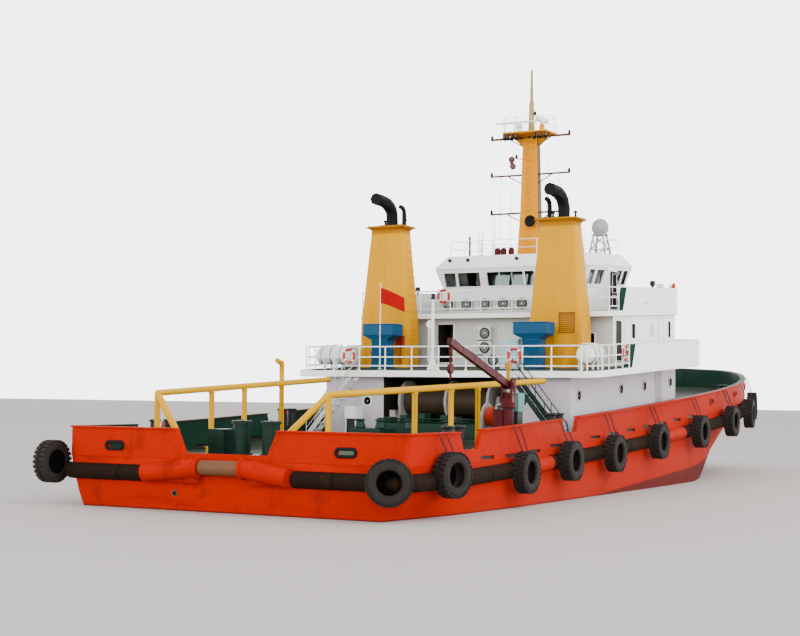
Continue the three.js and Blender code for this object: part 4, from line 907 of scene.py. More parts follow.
# Winches and deck machinery
# The towing winch sits in the bay under the boat deck. Its wire is wound in tight layers between tall
# flanges. A small winch stands on the starboard side of the working deck, with low green machinery about.
grey_paint = painted("winch_grey_paint", (0.27, 0.25, 0.22), stain=(0.14, 0.07, 0.03), wear=0.6, streaks=0.4,
                     roughness=0.5)
hub_orange = painted("hub_orange_paint", (0.4, 0.025, 0.005), stain=(0.12, 0.04, 0.02), wear=0.5)
wire_steel = painted("wire_rope_steel", (0.04, 0.026, 0.015), stain=(0.08, 0.04, 0.015), wear=0.5,
                     roughness=0.5)
for node in ("winch_frame", "side_winch_frame"):
    dress(node, grey_paint)
WINCH = (17.5, 3.9)
DRUMS = ((-2.17, -0.16), (-0.08, 2.17))
shape = bmesh.new()
x, z = WINCH
for y in (-2.25, -0.16, 2.17):
    profile = [(0, 0.35), (0, 0.9), (-0.02, 0.92), (-0.02, 0.955), (0.1, 0.955), (0.1, 0.92), (0.08, 0.9),
               (0.08, 0.35)]
    lathe(shape, (x, y, z), (0, 1, 0), profile, 48, closed=True)
    for angle in angles(8):
        arm = [(x + r * math.cos(angle), y + 0.04, z + r * math.sin(angle)) for r in (0.42, 0.9)]
        tube(shape, arm, 0.05, 6)
lathe(shape, (x, -2.35, z), (0, 1, 0), [(0, 0.15), (0.1, 0.15), (0.1, 0.4), (4.6, 0.4), (4.6, 0.15),
                                        (4.7, 0.15)], 32)
for low, high in DRUMS:
    turns = round((high - low - 0.1) / 0.062)
    profile = [(low + 0.09, 0.41)]
    for i in range(turns):
        base = low + 0.1 + i * 0.062
        profile += [(base + 0.031 + 0.027 * math.sin(a), 0.6 + 0.031 * math.cos(a))
                    for a in (-1.4, -0.7, 0, 0.7, 1.4)]
    profile.append((high - 0.005, 0.41))
    lathe(shape, (x, 0, z), (0, 1, 0), profile, 40, 1)
drum = new_piece("winch_drum_with_wire", shape, [grey_paint, wire_steel], body="winch_drum",
                 sharp=40)
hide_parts("winch_drum")

SIDE_WINCH = (12.9, -4.3, 3.35)
x, y, z = SIDE_WINCH
shape = bmesh.new()
for spot in (-0.3, 0.3):
    profile = [(-0.03, 0.2), (-0.03, 0.53), (-0.045, 0.56), (0.045, 0.56), (0.03, 0.53), (0.03, 0.2)]
    lathe(shape, (x, y + spot, z), (0, 1, 0), profile, 40, closed=True)
lathe(shape, (x, y - 0.4, z), (0, 1, 0), [(0, 0.1), (0.06, 0.1), (0.08, 0.3), (0.72, 0.3), (0.74, 0.1),
                                          (0.8, 0.1)], 32, 1)
rope = [(-0.26, 0.3)]
for i in range(13):
    base = -0.26 + i * 0.04
    rope += [(base + 0.02 + 0.018 * math.sin(a), 0.38 + 0.02 * math.cos(a)) for a in (-1.4, 0, 1.4)]
rope.append((0.265, 0.3))
lathe(shape, (x, y, z), (0, 1, 0), rope, 32, 1)
drum = new_piece("side_winch_drum_finished", shape, [grey_paint, hub_orange], body="side_winch_drum",
                 sharp=40)
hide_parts("side_winch_drum")

white_box = painted("white_box_paint", (0.62, 0.62, 0.6), stain=(0.2, 0.1, 0.05), wear=0.3)
shape = bmesh.new()
# Gear case and motor at each end of the towing winch
for sign in (-1, 1):
    box(shape, (16.7, sign * 2.66 - 0.14, 2.66), (18.2, sign * 2.66 + 0.14, 3.5))
    lathe(shape, (16.55, sign * 2.55, 3.05), (1, 0, 0),
          [(0, 0.2), (0.02, 0.24), (0.3, 0.24), (0.5, 0.2), (0.52, 0.1)], 20)
# Power pack, boxes and rollers between the sheathing and the winch
box(shape, (9.6, -1.2, 1.95), (10.6, 0.6, 2.5), 1)
box(shape, (12.2, -2.6, 2.1), (13.6, -1.2, 2.62), 1)
box(shape, (12.5, 0.9, 2.1), (13.9, 2.4, 2.75), 1)
for spot in (-2.2, -0.4, 1.1, 2.1):
    lathe(shape, (12.9, spot, 2.75), UP, [(0, 0.2), (0.03, 0.24), (0.3, 0.16), (0.34, 0.24), (0.4, 0.2),
                                          (0.4, 0.05)], 18, 1)
# The winch's foundation, with a control stand and pipes along its after edge
box(shape, (15.1, -2.9, 2.3), (16.5, 2.6, 2.95), 1)
for y in (-2.4, -1.5, -0.7, 0.4, 1.3, 2.1):
    box(shape, (15.3, y - 0.16, 2.93), (15.9, y + 0.16, 3.3 + 0.1 * math.sin(y * 5)), 1)
for z in (3.02, 3.14):
    tube(shape, [(15.16, -2.85, z), (15.16, 2.55, z)], 0.035, 8, 1)
new_piece("deck_machinery", shape, [grey_paint, dark_green], bevel=0.025)

shape = bmesh.new()
box(shape, (15.15, 3.65, 3.1), (15.75, 4.25, 3.66))
box(shape, (15.13, 3.7, 3.15), (15.15, 4.2, 3.61))
box(shape, (15.2, 3.7, 2.4), (15.7, 4.2, 3.11), 1)
for spot in ((15.2, 3.7), (15.7, 3.7), (15.2, 4.2), (15.7, 4.2)):
    post(shape, spot, 2.2, 3.05, 0.03, 6)
new_piece("white_deck_cabinet", shape, [white_box, black_steel], bevel=0.02)

# Stairs
# Two flights climb inboard from the working deck to the boat deck, each with pipe handrails.
stair_grey = painted("stair_grey_paint", (0.5, 0.5, 0.47), stain=(0.15, 0.08, 0.04), wear=0.4, roughness=0.5)
for side, sign, finish in (("port", 1, stair_grey), ("starboard", -1, mid_green)):
    dress(f"stairs_{side}", finish, bevel=0.006)
    shape = bmesh.new()
    for x in (15.17, 15.88):
        low, high = (x, sign * 6.3, 2.2), (x, sign * 4.05, 4.93)
        rail = [(x, low[1], low[2] - 0.1), (x, low[1], low[2] + 0.85), (x, high[1], high[2] + 0.85),
                (x, high[1], high[2] - 0.05)]
        tube(shape, rail, 0.022, 6)
        for t in (0.33, 0.66):
            y, z = (a + t * (b - a) for a, b in zip(low[1:], high[1:]))
            post(shape, (x, y), z, z + 0.87, 0.018, 6)
        tube(shape, [(x, low[1], low[2] + 0.42), (x, high[1], high[2] + 0.42)], 0.016, 6)
    new_piece(f"stair_rails_{side}", shape, finish)

# Main deckhouse
# Welded steel walls in a pale lilac-grey, with portholes, a shallow recess and a rubbing seam at the sides.
# Around the winch bay the wall turns inboard, and the bay's walls are painted near-black as painted shade.
HOUSE_WALL = (0.5, 0.45, 0.49)
house_paint = painted("deckhouse_lilac_grey", HOUSE_WALL, stain=(0.16, 0.08, 0.05),
                      roughness=0.5)
bay_painted_shade = painted("winch_bay_painted_shade", (0.018, 0.016, 0.014), stain=(0.03, 0.018, 0.01), wear=0.5,
                    streaks=0.5, roughness=0.7)
porthole_glass = painted("porthole_glass", (0.006, 0.007, 0.009), wear=0.0, streaks=0.0, roughness=0.6,
                         gloss=0.01, grain=0.0005)
# Darker grey for the side recesses, as painted shade
recess_painted_shade = painted("recess_shade_grey", [0.6 * c for c in HOUSE_WALL], wear=0.2, streaks=0.4)
white_paint = painted("white_house_paint", (0.9, 0.9, 0.88), stain=(0.34, 0.19, 0.1),
                      roughness=0.42, gloss=0.3)
BAY = (16.6, 21.6, 3.05)


# Faces inside the winch bay take the near-black painted shade
def in_the_bay(face):
    centre = middle_of(face)
    inside = BAY[0] + 0.05 < centre.x < BAY[1] + 0.05 and abs(centre.y) < BAY[2] + 0.03
    return 1 if inside else 0


dress("main_deckhouse", [house_paint, bay_painted_shade], bevel=0.03, paint_faces=in_the_bay)


def porthole(shape, centre, out, radius, rim=1):
    """A round window: a pane with a raised clamped rim, and a drip moulding over it."""
    lathe(shape, centre, out, [(-0.02, radius * 0.2), (0.012, radius * 0.2), (0.012, radius),
                               (-0.02, radius)], closed=True)
    lathe(shape, centre, out, [(-0.01, radius * 0.98), (0.03, radius * 1.0), (0.035, radius * 1.12),
                               (0.02, radius * 1.25), (-0.01, radius * 1.27)], 24, rim, closed=True)
    across = UP.cross(Vector(out)).normalized()
    brow = [Vector(centre) + Vector(out) * 0.03 + across * (radius * 1.45 * math.cos(a))
            + Vector((0, 0, radius * 1.45 * math.sin(a))) for a in (0.5, 0.95, 1.4, 1.75, 2.2, 2.65)]
    tube(shape, brow, 0.014, 6, rim)


HOUSE_SIDE = 6.15
# Edges of the shallow recess in each side
RECESS = (27.15, 28.0)
# The upper decks rise forward
DECK_RAKE = 0.055
PORTHOLES = [(17.5, 4.25), (22.55, 4.55), (25.65, 4.72), (29.35, 4.95)]
shape = bmesh.new()
for sign in (-1, 1):
    for x, z in PORTHOLES:
        porthole(shape, (x, sign * (HOUSE_SIDE + 0.005), z), (0, sign, 0), 0.21, rim=2)
    # Upright recess frames, the recess between them painted darker grey as painted shade, and the low seam
    # along the wall
    for x in RECESS:
        box(shape, (x - 0.02, sign * HOUSE_SIDE - 0.03, 3.6), (x + 0.02, sign * HOUSE_SIDE + 0.03, 5.5), 2)
    box(shape, (RECESS[0], sign * HOUSE_SIDE - 0.02, 3.6), (RECESS[1], sign * HOUSE_SIDE + 0.008, 5.5), 3)
    seam = [(x, sign * (HOUSE_SIDE + 0.01), 2.95 + (x - 16.6) * DECK_RAKE) for x in (16.7, 20, 24, 28, 30.1)]
    tube(shape, seam, 0.022, 6, 1)
    box(shape, (16.58, sign * 4.9 - 0.35, 2.4), (16.6, sign * 4.9 + 0.35, 4.25), 2)
    for z in (2.7, 3.3, 3.9):
        box(shape, (16.56, sign * 4.9 - 0.36, z), (16.59, sign * 4.9 - 0.28, z + 0.08), 1)
    porthole(shape, (16.59, sign * 3.9, 3.9), AFT, 0.19)
new_piece("deckhouse_portholes_and_doors", shape, [porthole_glass, white_paint, house_paint, recess_painted_shade],
          bevel=0.006)

# Boat deck
# A flat plated deck with rounded after corners, white at its edge, worn green-grey on top. Bulwarks with a
# slanted dark green end begin abreast of the funnels.
deck_top = painted("boat_deck_paint", (0.06, 0.075, 0.055), stain=(0.1, 0.06, 0.04), wear=0.5, streaks=0.1,
                   roughness=0.9, gloss=0.0)
edge_green = painted("bulwark_edge_green", (0.006, 0.034, 0.026), stain=(0.05, 0.03, 0.02), wear=0.2)


def deck_faces(face):
    """White outside and below, deck paint on top, green on the slanted ends of the bulwark."""
    out = face.normal
    centre = middle_of(face)
    if out.z > 0.8 and face.calc_area() > 0.6:
        return 1
    if -0.99 < out.x < -0.6 and out.z > 0.1 and centre.x > 20:
        return 2
    return 0


for node in ("boat_deck", "bridge_deck"):
    dress(node, [white_paint, deck_top, edge_green], bevel=0.025, paint_faces=deck_faces)


PLATE = 0.02


def end_plate(shape, foot, head, breadth):
    """A flat plate along the slanted end of a bulwark, turned inboard."""
    sides = []
    for y in (foot[1], foot[1] - math.copysign(breadth, foot[1])):
        sides.append([shape.verts.new(at(x + shift, y, z)) for shift, (x, z) in
                      ((0, (foot[0], foot[2])), (0, (head[0], head[2])), (-PLATE, (head[0], head[2])),
                       (-PLATE, (foot[0], foot[2])))])
    for k in range(4):
        shape.faces.new((sides[0][k], sides[0][(k + 1) % 4], sides[1][(k + 1) % 4], sides[1][k]))
    shape.faces.new(sides[0][::-1])
    shape.faces.new(sides[1])


# Green plates close the slanted after ends of the two decks' bulwarks
shape = bmesh.new()
for node, foot, head, breadth in (("boat_deck", (20.33, 5.53), (20.74, 6.58), 0.42),
                                  ("bridge_deck", (21.73, 8.15), (22.19, 9.24), 0.3)):
    half = max(abs(value) for value in (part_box(node)[0][1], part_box(node)[1][1])) / MODEL_SCALE
    for sign in (-1, 1):
        y = sign * (half - 0.008)
        end_plate(shape, (foot[0], y, foot[1]), (head[0], y, head[1]), breadth)
bmesh.ops.recalc_face_normals(shape, faces=shape.faces)
new_piece("bulwark_end_plates", shape, edge_green)
for node in ("boat_deck_rail_aft", "boat_deck_rail_port", "boat_deck_rail_starboard", "bridge_deck_rail"):
    dress(node, white_paint, bevel=0, sharp=50)


def boat_deck_z(x):
    return 5.29 + (x - 16.04) * DECK_RAKE


# Round feet under the after rail, and the tall pole that stands at its middle with gussets at its foot
pole_white = painted("pole_white_paint", (0.8, 0.8, 0.78), wear=0.2, roughness=0.4, gloss=0.3)
shape = bmesh.new()
x, y = 16.15, 0.31
floor_z = boat_deck_z(x)
tube(shape, [(x, y, floor_z), (x, y, 7.6), (x, y, 8.46)], [0.075, 0.07, 0.06], 12)
lathe(shape, (x, y, 8.46), UP, [(0, 0.06), (0.01, 0.1), (0.05, 0.1), (0.12, 0.08), (0.24, 0.085),
                                (0.28, 0.02)], 16, 1)
for dx, dy in ((0, 1), (0, -1), (1, 0), (-1, 0)):
    rings = []
    outline = [(0.05, 0.0), (0.3, 0.0), (0.06, 0.62)]
    for thick in (-0.012, 0.012):
        rings.append([shape.verts.new(at(x + dx * u + dy * thick, y + dy * u + dx * thick, floor_z + v))
                      for u, v in outline])
    skin_rings(shape, rings)
for y in [-6.81 + 13.62 * k / 10 for k in range(11)]:
    lathe(shape, (16.13, y, boat_deck_z(16.13)), UP, [(0, 0.07), (0.025, 0.07), (0.06, 0.035)], 10)
lathe(shape, (16.3, 0.42, 7.35), AFT, [(0, 0.05), (0.05, 0.16), (0.1, 0.19), (0.2, 0.19), (0.22, 0.16),
                                       (0.18, 0.02)], 20)
new_piece("boat_deck_pole_and_feet", shape, [pole_white, black_steel])

# Ensign
# A plain red flag droops from a thin staff that stands abaft the port ventilator.
flag_red = painted("flag_red_cloth", (0.36, 0.003, 0.006), wear=0.0, streaks=0.1, roughness=0.9, gloss=0.02)
STAFF = (17.38, 3.72)
HOIST = 0.72
x, y = STAFF
shape = bmesh.new()
tube(shape, [(x, y, boat_deck_z(x) - 0.02), (x, y, 7.4), (x, y, 9.3)], [0.03, 0.025, 0.015], 10)
lathe(shape, (x, y, 9.28), UP, [(0, 0.015), (0.01, 0.035), (0.05, 0.035), (0.07, 0.01)], 12)
lathe(shape, (x, y, boat_deck_z(x) - 0.01), UP, [(0, 0.09), (0.03, 0.09), (0.05, 0.04)], 14)
staff = new_piece("ensign_staff", shape, pole_white)
shape = bmesh.new()
columns, rows = 36, 16
grid = []
for i in range(columns + 1):
    u = i / columns
    sway = 0.07 * math.sin(u * 8.2) * u ** 0.6
    column = []
    for k in range(rows + 1):
        v = k / rows
        droop = 0.5 * u ** 1.25
        ripple = sway * (0.6 + 0.4 * v) + 0.02 * math.sin(5 * v + 9 * u) * u
        column.append(shape.verts.new(at(x - 0.03 + ripple, y - 0.03 - 1.24 * u,
                                         9.14 - droop - HOIST * v * (1 - 0.1 * u))))
    grid.append(column)
for i in range(columns):
    for k in range(rows):
        shape.faces.new((grid[i][k], grid[i + 1][k], grid[i + 1][k + 1], grid[i][k + 1]))
area = sum(face.calc_area() for face in shape.faces)
flag = new_piece("ensign_flag", shape, flag_red, sharp=80)
thick = flag.modifiers.new("cloth thickness", "SOLIDIFY")
thick.thickness = 0.0012

# Lifebuoys
# Orange-red foam rings with pale bands and a grab line, hung on the rails.
buoy_red = painted("lifebuoy_red", (0.42, 0.03, 0.02), wear=0.1, streaks=0.1, roughness=0.55)
shape = bmesh.new()
for centre, out in (((16.02, 4.57, 5.95), AFT), ((16.02, -3.75, 5.95), AFT),
                    ((19.52, -7.5, 6.14), (0, -1, 0)), ((19.52, 7.5, 6.14), (0, 1, 0)),
                    ((20.22, 1.9, 8.88), AFT)):
    along = Vector(out)
    across = UP.cross(along)

    def on_ring(angle, radius, lift=0.0):
        return Vector(centre) + radius * (math.cos(angle) * across + math.sin(angle) * UP) + lift * along

    tube(shape, [on_ring(a, 0.285) for a in angles(28)], 0.062, 10, closed=True)
    for start in angles(4):
        tube(shape, [on_ring(start + 0.785 + d, 0.285) for d in (-0.16, -0.05, 0.05, 0.16)], 0.066, 10, 1)
    line = [on_ring(a, 0.375 + 0.03 * abs(math.sin(2 * a)), 0.02) for a in angles(32)]
    tube(shape, line, 0.01, 5, 1, closed=True)
new_piece("lifebuoys", shape, [buoy_red, pole_white], sharp=50)

# Liferafts
# Ribbed white canisters in two halves, held by straps on steel cradles with hoops over them.
raft_white = painted("raft_canister", (0.78, 0.78, 0.75), wear=0.1, streaks=0.2, roughness=0.35, gloss=0.4)
for side, centre, along in (("port", (17.0, 5.95), (0, 1, 0)), ("starboard", (17.4, -6.75), (1, 0, 0))):
    x, y = centre
    floor_z = boat_deck_z(x)
    middle = (x, y, floor_z + 0.64)
    shape = bmesh.new()
    profile = [(-0.84, 0.02), (-0.84, 0.2), (-0.82, 0.3), (-0.76, 0.375), (-0.7, 0.4)]
    for k in range(-5, 6):
        profile += [(k * 0.12 - 0.035, 0.4), (k * 0.12 - 0.02, 0.416), (k * 0.12 + 0.02, 0.416),
                    (k * 0.12 + 0.035, 0.4)]
    profile += [(0.7, 0.4), (0.76, 0.375), (0.82, 0.3), (0.84, 0.2), (0.84, 0.02)]
    lathe(shape, middle, along, profile, 32)
    ahead = Vector(along)
    across = UP.cross(ahead)
    for step in (-0.5, 0.5):
        hoop = [Vector(middle) + ahead * step + 0.425 * (math.cos(a) * across + math.sin(a) * UP)
                for a in angles(24)]
        tube(shape, hoop, 0.014, 5, 1, closed=True)
    for step in (-0.3, 0.3):
        frame_line = [Vector((x, y, floor_z)) + ahead * step + across * u + Vector((0, 0, v))
                      for u, v in ((-0.45, 0), (-0.45, 0.85), (-0.25, 1.12), (0.25, 1.12), (0.45, 0.85),
                                   (0.45, 0))]
        tube(shape, frame_line, 0.024)
        for u in (-0.24, 0.24):
            low = Vector((x, y, floor_z)) + ahead * (step - 0.04) + across * u
            high = Vector((x, y, floor_z + 0.32)) + ahead * (step + 0.04) + across * (u + 0.06)
            box(shape, low, high)
    lathe(shape, middle, along, [(-0.02, 0.4), (-0.02, 0.43), (0.02, 0.43), (0.02, 0.4)], 32, 1,
          closed=True)
    raft = new_piece(f"liferaft_{side}_finished", shape, [raft_white, black_steel],
                     sharp=30)
    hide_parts(f"liferaft_{side}")

# Funnels
# Tapering yellow casings with rounded corners and a flared cap, and grab rungs up their inboard sides. The
# starboard one has a louvred air inlet low on its after face. A red fire box hangs by the port one.
funnel_paint = painted("funnel_yellow", (0.62, 0.285, 0.0), stain=(0.26, 0.08, 0.01), wear=0.15, streaks=0.35,
                       gloss=0.03)
louvre_paint = painted("louvre_ochre", (0.24, 0.08, 0.002), stain=(0.1, 0.04, 0.01), wear=0.3, streaks=0.5,
                       roughness=0.6)
soot_black_and_hole_shade = painted("soot_black_and_hole_shade", (0.008, 0.008, 0.009), stain=(0.03, 0.025, 0.02), wear=0.3,
                     roughness=0.75, gloss=0.1)
fire_red = painted("fire_box_red", (0.22, 0.008, 0.005), wear=0.2, roughness=0.4)
CAP_OCHRE = (0.36, 0.14, 0.002)
CAP_EDGE = 11.8
# Height at which the casing starts to taper
KNUCKLE = 7.4


def stain_low(material, low, high, stain):
    """Soot and rust that gather low on a casing, in streaks, and the sooty ochre of its flared cap."""
    add, shader, link, place = node_maker(material)
    height = add("ShaderNodeSeparateXYZ", {"Vector": place}).outputs["Z"]
    near = between(add, height, high * MODEL_SCALE, low * MODEL_SCALE)
    cloud = colour_ramp(add, noise(add, place, 2.5, (1, 1, 0.35), 7, 0.7), [(0.35, 0), (0.7, 1)])
    paint = shader.inputs["Base Color"].links[0].from_socket
    casing = mixed(add, maths(add, "MULTIPLY", near, cloud), paint, stain)
    cap = between(add, height, CAP_EDGE * MODEL_SCALE, (CAP_EDGE + 0.1) * MODEL_SCALE)
    link(mixed(add, cap, casing, CAP_OCHRE), shader.inputs["Base Color"])


stain_low(funnel_paint, 5.4, 8.6, (0.26, 0.085, 0.002))
FUNNEL = (19.5, 4.4)
for side, sign in SIDES:
    dress(f"funnel_{side}", funnel_paint, sharp=25)
    dress(f"exhaust_{side}", soot_black_and_hole_shade, bevel=0, sharp=40)
    x, y = FUNNEL[0], sign * FUNNEL[1]
    shape = bmesh.new()
    aft = x - 0.69
    if side == "starboard":
        low, high = 7.1, 7.9
        middle = y - 0.62
        for k in range(9):
            z = low + 0.02 + k * (high - low) / 9
            lean = max(0, z - KNUCKLE) * 0.047
            box(shape, (aft + lean - 0.03, middle - 0.33, z), (aft + lean + 0.02, middle + 0.33, z + 0.05), 1)
        for spot in (middle - 0.36, middle + 0.36):
            box(shape, (aft - 0.035, spot - 0.025, low - 0.05), (aft + 0.03, spot + 0.025, high + 0.03), 1)
        box(shape, (aft - 0.035, middle - 0.38, low - 0.08), (aft + 0.03, middle + 0.38, low - 0.03), 1)
        box(shape, (aft - 0.035, middle - 0.38, high), (aft + 0.04, middle + 0.38, high + 0.05), 1)
    # A seam up the face and rungs on the inboard side
    seam = [(aft - 0.004, y, 5.5), (aft - 0.004, y, KNUCKLE), (x - 0.484, y, 11.88)]
    tube(shape, seam, 0.012, 5)
    for k in range(14):
        z = 6.0 + k * 0.42
        edge = 1.26 - max(0, z - KNUCKLE) * (0.4 / 4.5)
        inboard = y - sign * (edge + 0.09)
        tube(shape, [(x - 0.17, inboard + sign * 0.1, z), (x - 0.17, inboard, z), (x + 0.17, inboard, z),
                     (x + 0.17, inboard + sign * 0.1, z)], 0.014, 5)
    # The cap's rim and the rail of lugs under it
    tube(shape, [(x + 0.62 * a, y + 1.01 * b, 12.16) for a, b in CORNERS], 0.03, 6, closed=True)
    for spot in (-0.55, 0.0, 0.55):
        post(shape, (x + 0.42, y + spot), 12.22, 12.5, 0.05, 8, 2)
        lathe(shape, (x + 0.42, y + spot, 12.5), UP, [(0, 0.05), (0.01, 0.09), (0.08, 0.09), (0.1, 0.03)],
              12, 2)
    inner = y - sign * 0.62
    tube(shape, [(x + 0.18, inner, 12.8), (x + 0.15, inner, 12.98), (x + 0.02, inner, 13.1),
                 (x - 0.2, inner, 13.14)], 0.105, 12, 2)
    new_piece(f"funnel_{side}_fittings", shape, [funnel_paint, louvre_paint, soot_black_and_hole_shade],
              bevel=0.005)

shape = bmesh.new()
box(shape, (18.62, 3.2, 6.45), (18.81, 3.56, 6.95))
box(shape, (18.6, 3.23, 6.5), (18.62, 3.53, 6.9))
post(shape, (18.7, 3.38), 6.45, 5.6, 0.03, 6)
new_piece("fire_box", shape, fire_red, bevel=0.012)

# Ventilators
# Blue plate cowls on square trunks, with weather flanges round the trunk and bars round the wider head.
blue_paint = painted("ventilator_blue", (0.008, 0.062, 0.135), stain=(0.07, 0.07, 0.06), wear=0.3,
                     streaks=0.5, gloss=0.1)
VENT = (17.85, 3.85)
for side, sign in SIDES:
    dress(f"ventilator_{side}", blue_paint)
    x, y = VENT[0], sign * VENT[1]
    shape = bmesh.new()
    for z in (5.42, 6.1, 6.66):
        for x0, x1, y0, y1 in ((-0.36, -0.325, -0.45, 0.45), (0.325, 0.36, -0.45, 0.45),
                               (-0.36, 0.36, -0.45, -0.415), (-0.36, 0.36, 0.415, 0.45)):
            box(shape, (x + x0, y + y0, z), (x + x1, y + y1, z + 0.05))
    for z in (6.96, 7.44):
        tube(shape, [(x + a * 0.485, y + b * 0.805, z) for a, b in CORNERS], 0.022, 6, closed=True)
    lathe(shape, (x - 0.33, y + 0.2, 5.95), AFT, [(0, 0.14), (0.03, 0.14), (0.035, 0.1), (0.06, 0.02)], 20)
    new_piece(f"ventilator_{side}_flanges", shape, blue_paint, bevel=0.006)

shape = bmesh.new()
pale_blue = painted("pale_cabinet_paint", (0.35, 0.5, 0.55), wear=0.2)
box(shape, (18.05, -3.0, 5.4), (18.6, -2.1, 6.75))
box(shape, (18.03, -2.93, 5.5), (18.05, -2.57, 6.65))
box(shape, (18.03, -2.53, 5.5), (18.05, -2.17, 6.65))
for spot in (-2.62, -2.48):
    box(shape, (18.015, spot - 0.012, 6.0), (18.04, spot + 0.012, 6.2), 1)
new_piece("boat_deck_cabinet", shape, [pale_blue, black_steel], bevel=0.012)

# Upper deckhouse
# White steel walls with a doorway and its door swung open, air conditioners on the after wall, and doors and
# small windows along the sides.
UPPER_AFT = 20.95
UPPER_SIDE = 6.38
fan_dark = painted("fan_dark", (0.03, 0.03, 0.032), wear=0.1, streaks=0.2, roughness=0.6)
unit_white = painted("unit_white_plastic", (0.62, 0.63, 0.6), stain=(0.2, 0.13, 0.08), wear=0.15, streaks=0.4,
                     roughness=0.5, gloss=0.3)
# Near-black painted shade for the open doorway, the dark side door and the wing doors
doorway_shade = painted("doorway_shade", (0.02, 0.016, 0.014), wear=0.1, streaks=0.1, roughness=0.7)
# Grey for the after wall under the deck above: painted shade, with dirt streaks
shaded_after_wall = painted("sheltered_wall_painted_shade", (0.55, 0.54, 0.5), stain=(0.2, 0.12, 0.07), wear=0.3,
                     streaks=0.45)


def in_the_doorway(face):
    """Painted shade: the open doorway's faces are near-black, and the sheltered after wall is painted grey,
    with streaks of dirt.
    """
    centre = middle_of(face)
    if 20.96 < centre.x < 22.6 and 1.6 < centre.y < 2.7 and 5.7 < centre.z < 7.65:
        return 1
    return 2 if face.normal.x < -0.9 else 0


dress("upper_deckhouse", [white_paint, doorway_shade, shaded_after_wall], bevel=0.03, paint_faces=in_the_doorway)
dress("upper_door", white_paint, bevel=0.008)

# Breadth of an outdoor unit, and the radius of its fan
UNIT, FAN = 0.82, 0.235


def fan_unit(shape, centre, out, tall=0.6, deep=0.3):
    """An air conditioner's outdoor unit: a case with a round ringed fan grille and a slotted side."""
    ahead = Vector(out)
    across = UP.cross(ahead)
    middle = Vector(centre)
    corner = across * (UNIT / 2) + ahead * (deep / 2) + Vector((0, 0, tall / 2))
    low, high = middle - corner, middle + corner
    box(shape, low, high)
    face = middle + ahead * (deep / 2) + across * (UNIT * 0.14)
    lathe(shape, face, out, [(0.0, FAN + 0.035), (0.02, FAN + 0.035), (0.03, FAN + 0.015), (0.02, FAN - 0.02),
                             (0.0, FAN - 0.02)], 24, 1, closed=True)
    lathe(shape, face, out, [(-0.001, 0.02), (0.008, FAN * 0.4), (0.008, FAN)], 24, 1)
    for ratio in (0.34, 0.56, 0.78):
        ring = [face + ahead * 0.02 + FAN * ratio * (math.cos(a) * across + math.sin(a) * UP)
                for a in angles(20)]
        tube(shape, ring, 0.008, 4, closed=True)
    lathe(shape, face, out, [(0.0, 0.045), (0.028, 0.045), (0.032, 0.01)], 12)
    for k in range(5):
        spot = middle + ahead * (deep / 2 + 0.004) - across * (UNIT * 0.36) + Vector((0, 0, (k - 2) * 0.09))
        reach = across * 0.08 + ahead * 0.006 + Vector((0, 0, 0.012))
        box(shape, spot - reach, spot + reach, 1)


shape = bmesh.new()
for y, z in ((0.02, 7.12), (0.02, 6.44), (-0.42, 5.86), (-1.28, 5.86)):
    fan_unit(shape, (UPPER_AFT - 0.2, y, z), AFT)
    for side in (-1, 1):
        arm = [(UPPER_AFT, y + side * 0.33, z - 0.52), (UPPER_AFT - 0.34, y + side * 0.33, z - 0.31),
               (UPPER_AFT, y + side * 0.33, z - 0.31)]
        tube(shape, arm, 0.016, 5)
    pipe = [(UPPER_AFT - 0.1, y - 0.42, z), (UPPER_AFT - 0.05, y - 0.55, z + 0.02),
            (UPPER_AFT - 0.05, y - 0.56, z + 0.4)]
    tube(shape, pipe, 0.02, 6)
new_piece("wall_air_conditioners", shape, [unit_white, fan_dark], bevel=0.008)

# The dark door is painted with the doorway's near-black painted shade
SIDE_DOORS = [(21.6, "dark"), (27.3, "white")]
# Each window: place, breadth, height, its finish in the piece
SIDE_WINDOWS = [(23.5, 0.5, 0.7, 3), (26.0, 0.45, 0.6, 4), (28.5, 0.42, 0.8, 3)]


def wall_foot(x):
    return boat_deck_z(x) + 0.12


shape = bmesh.new()
for sign in (-1, 1):
    side = sign * UPPER_SIDE
    for x, kind in SIDE_DOORS:
        low = wall_foot(x)
        finish = 2 if kind == "dark" else 0
        box(shape, (x - 0.37, side - 0.015, low + 0.15), (x + 0.37, side + sign * 0.012, low + 1.95), finish)
        for spot in (-0.41, 0.39):
            box(shape, (x + spot, side - 0.02, low + 0.1), (x + spot + 0.03, side + sign * 0.03, low + 2.0))
        box(shape, (x - 0.41, side - 0.02, low + 1.97), (x + 0.42, side + sign * 0.05, low + 2.01))
        box(shape, (x - 0.41, side - 0.02, low + 0.08), (x + 0.42, side + sign * 0.03, low + 0.13))
        tube(shape, [(x + 0.25, side + sign * 0.01, low + 1.05), (x + 0.25, side + sign * 0.06, low + 1.05),
                     (x + 0.12, side + sign * 0.06, low + 1.05)], 0.014, 6, 1)
    for x, wide, tall, finish in SIDE_WINDOWS:
        middle = wall_foot(x) + 1.45
        box(shape, (x - wide / 2, side - 0.01, middle - tall / 2),
            (x + wide / 2, side + sign * 0.008, middle + tall / 2), finish)
        outline = [(x + a * wide / 2, side + sign * 0.01, middle + b * tall / 2) for a, b in CORNERS]
        tube(shape, outline, 0.03, 6, closed=True)
    pipe = [(22.4, side + sign * 0.05, wall_foot(22.4)), (22.4, side + sign * 0.05, 7.85)]
    tube(shape, pipe, 0.03)
    cable = [(x, side + sign * 0.02, 7.72 + (x - 21) * DECK_RAKE) for x in (21.1, 24, 27, 29.3)]
    tube(shape, cable, 0.018, 6)
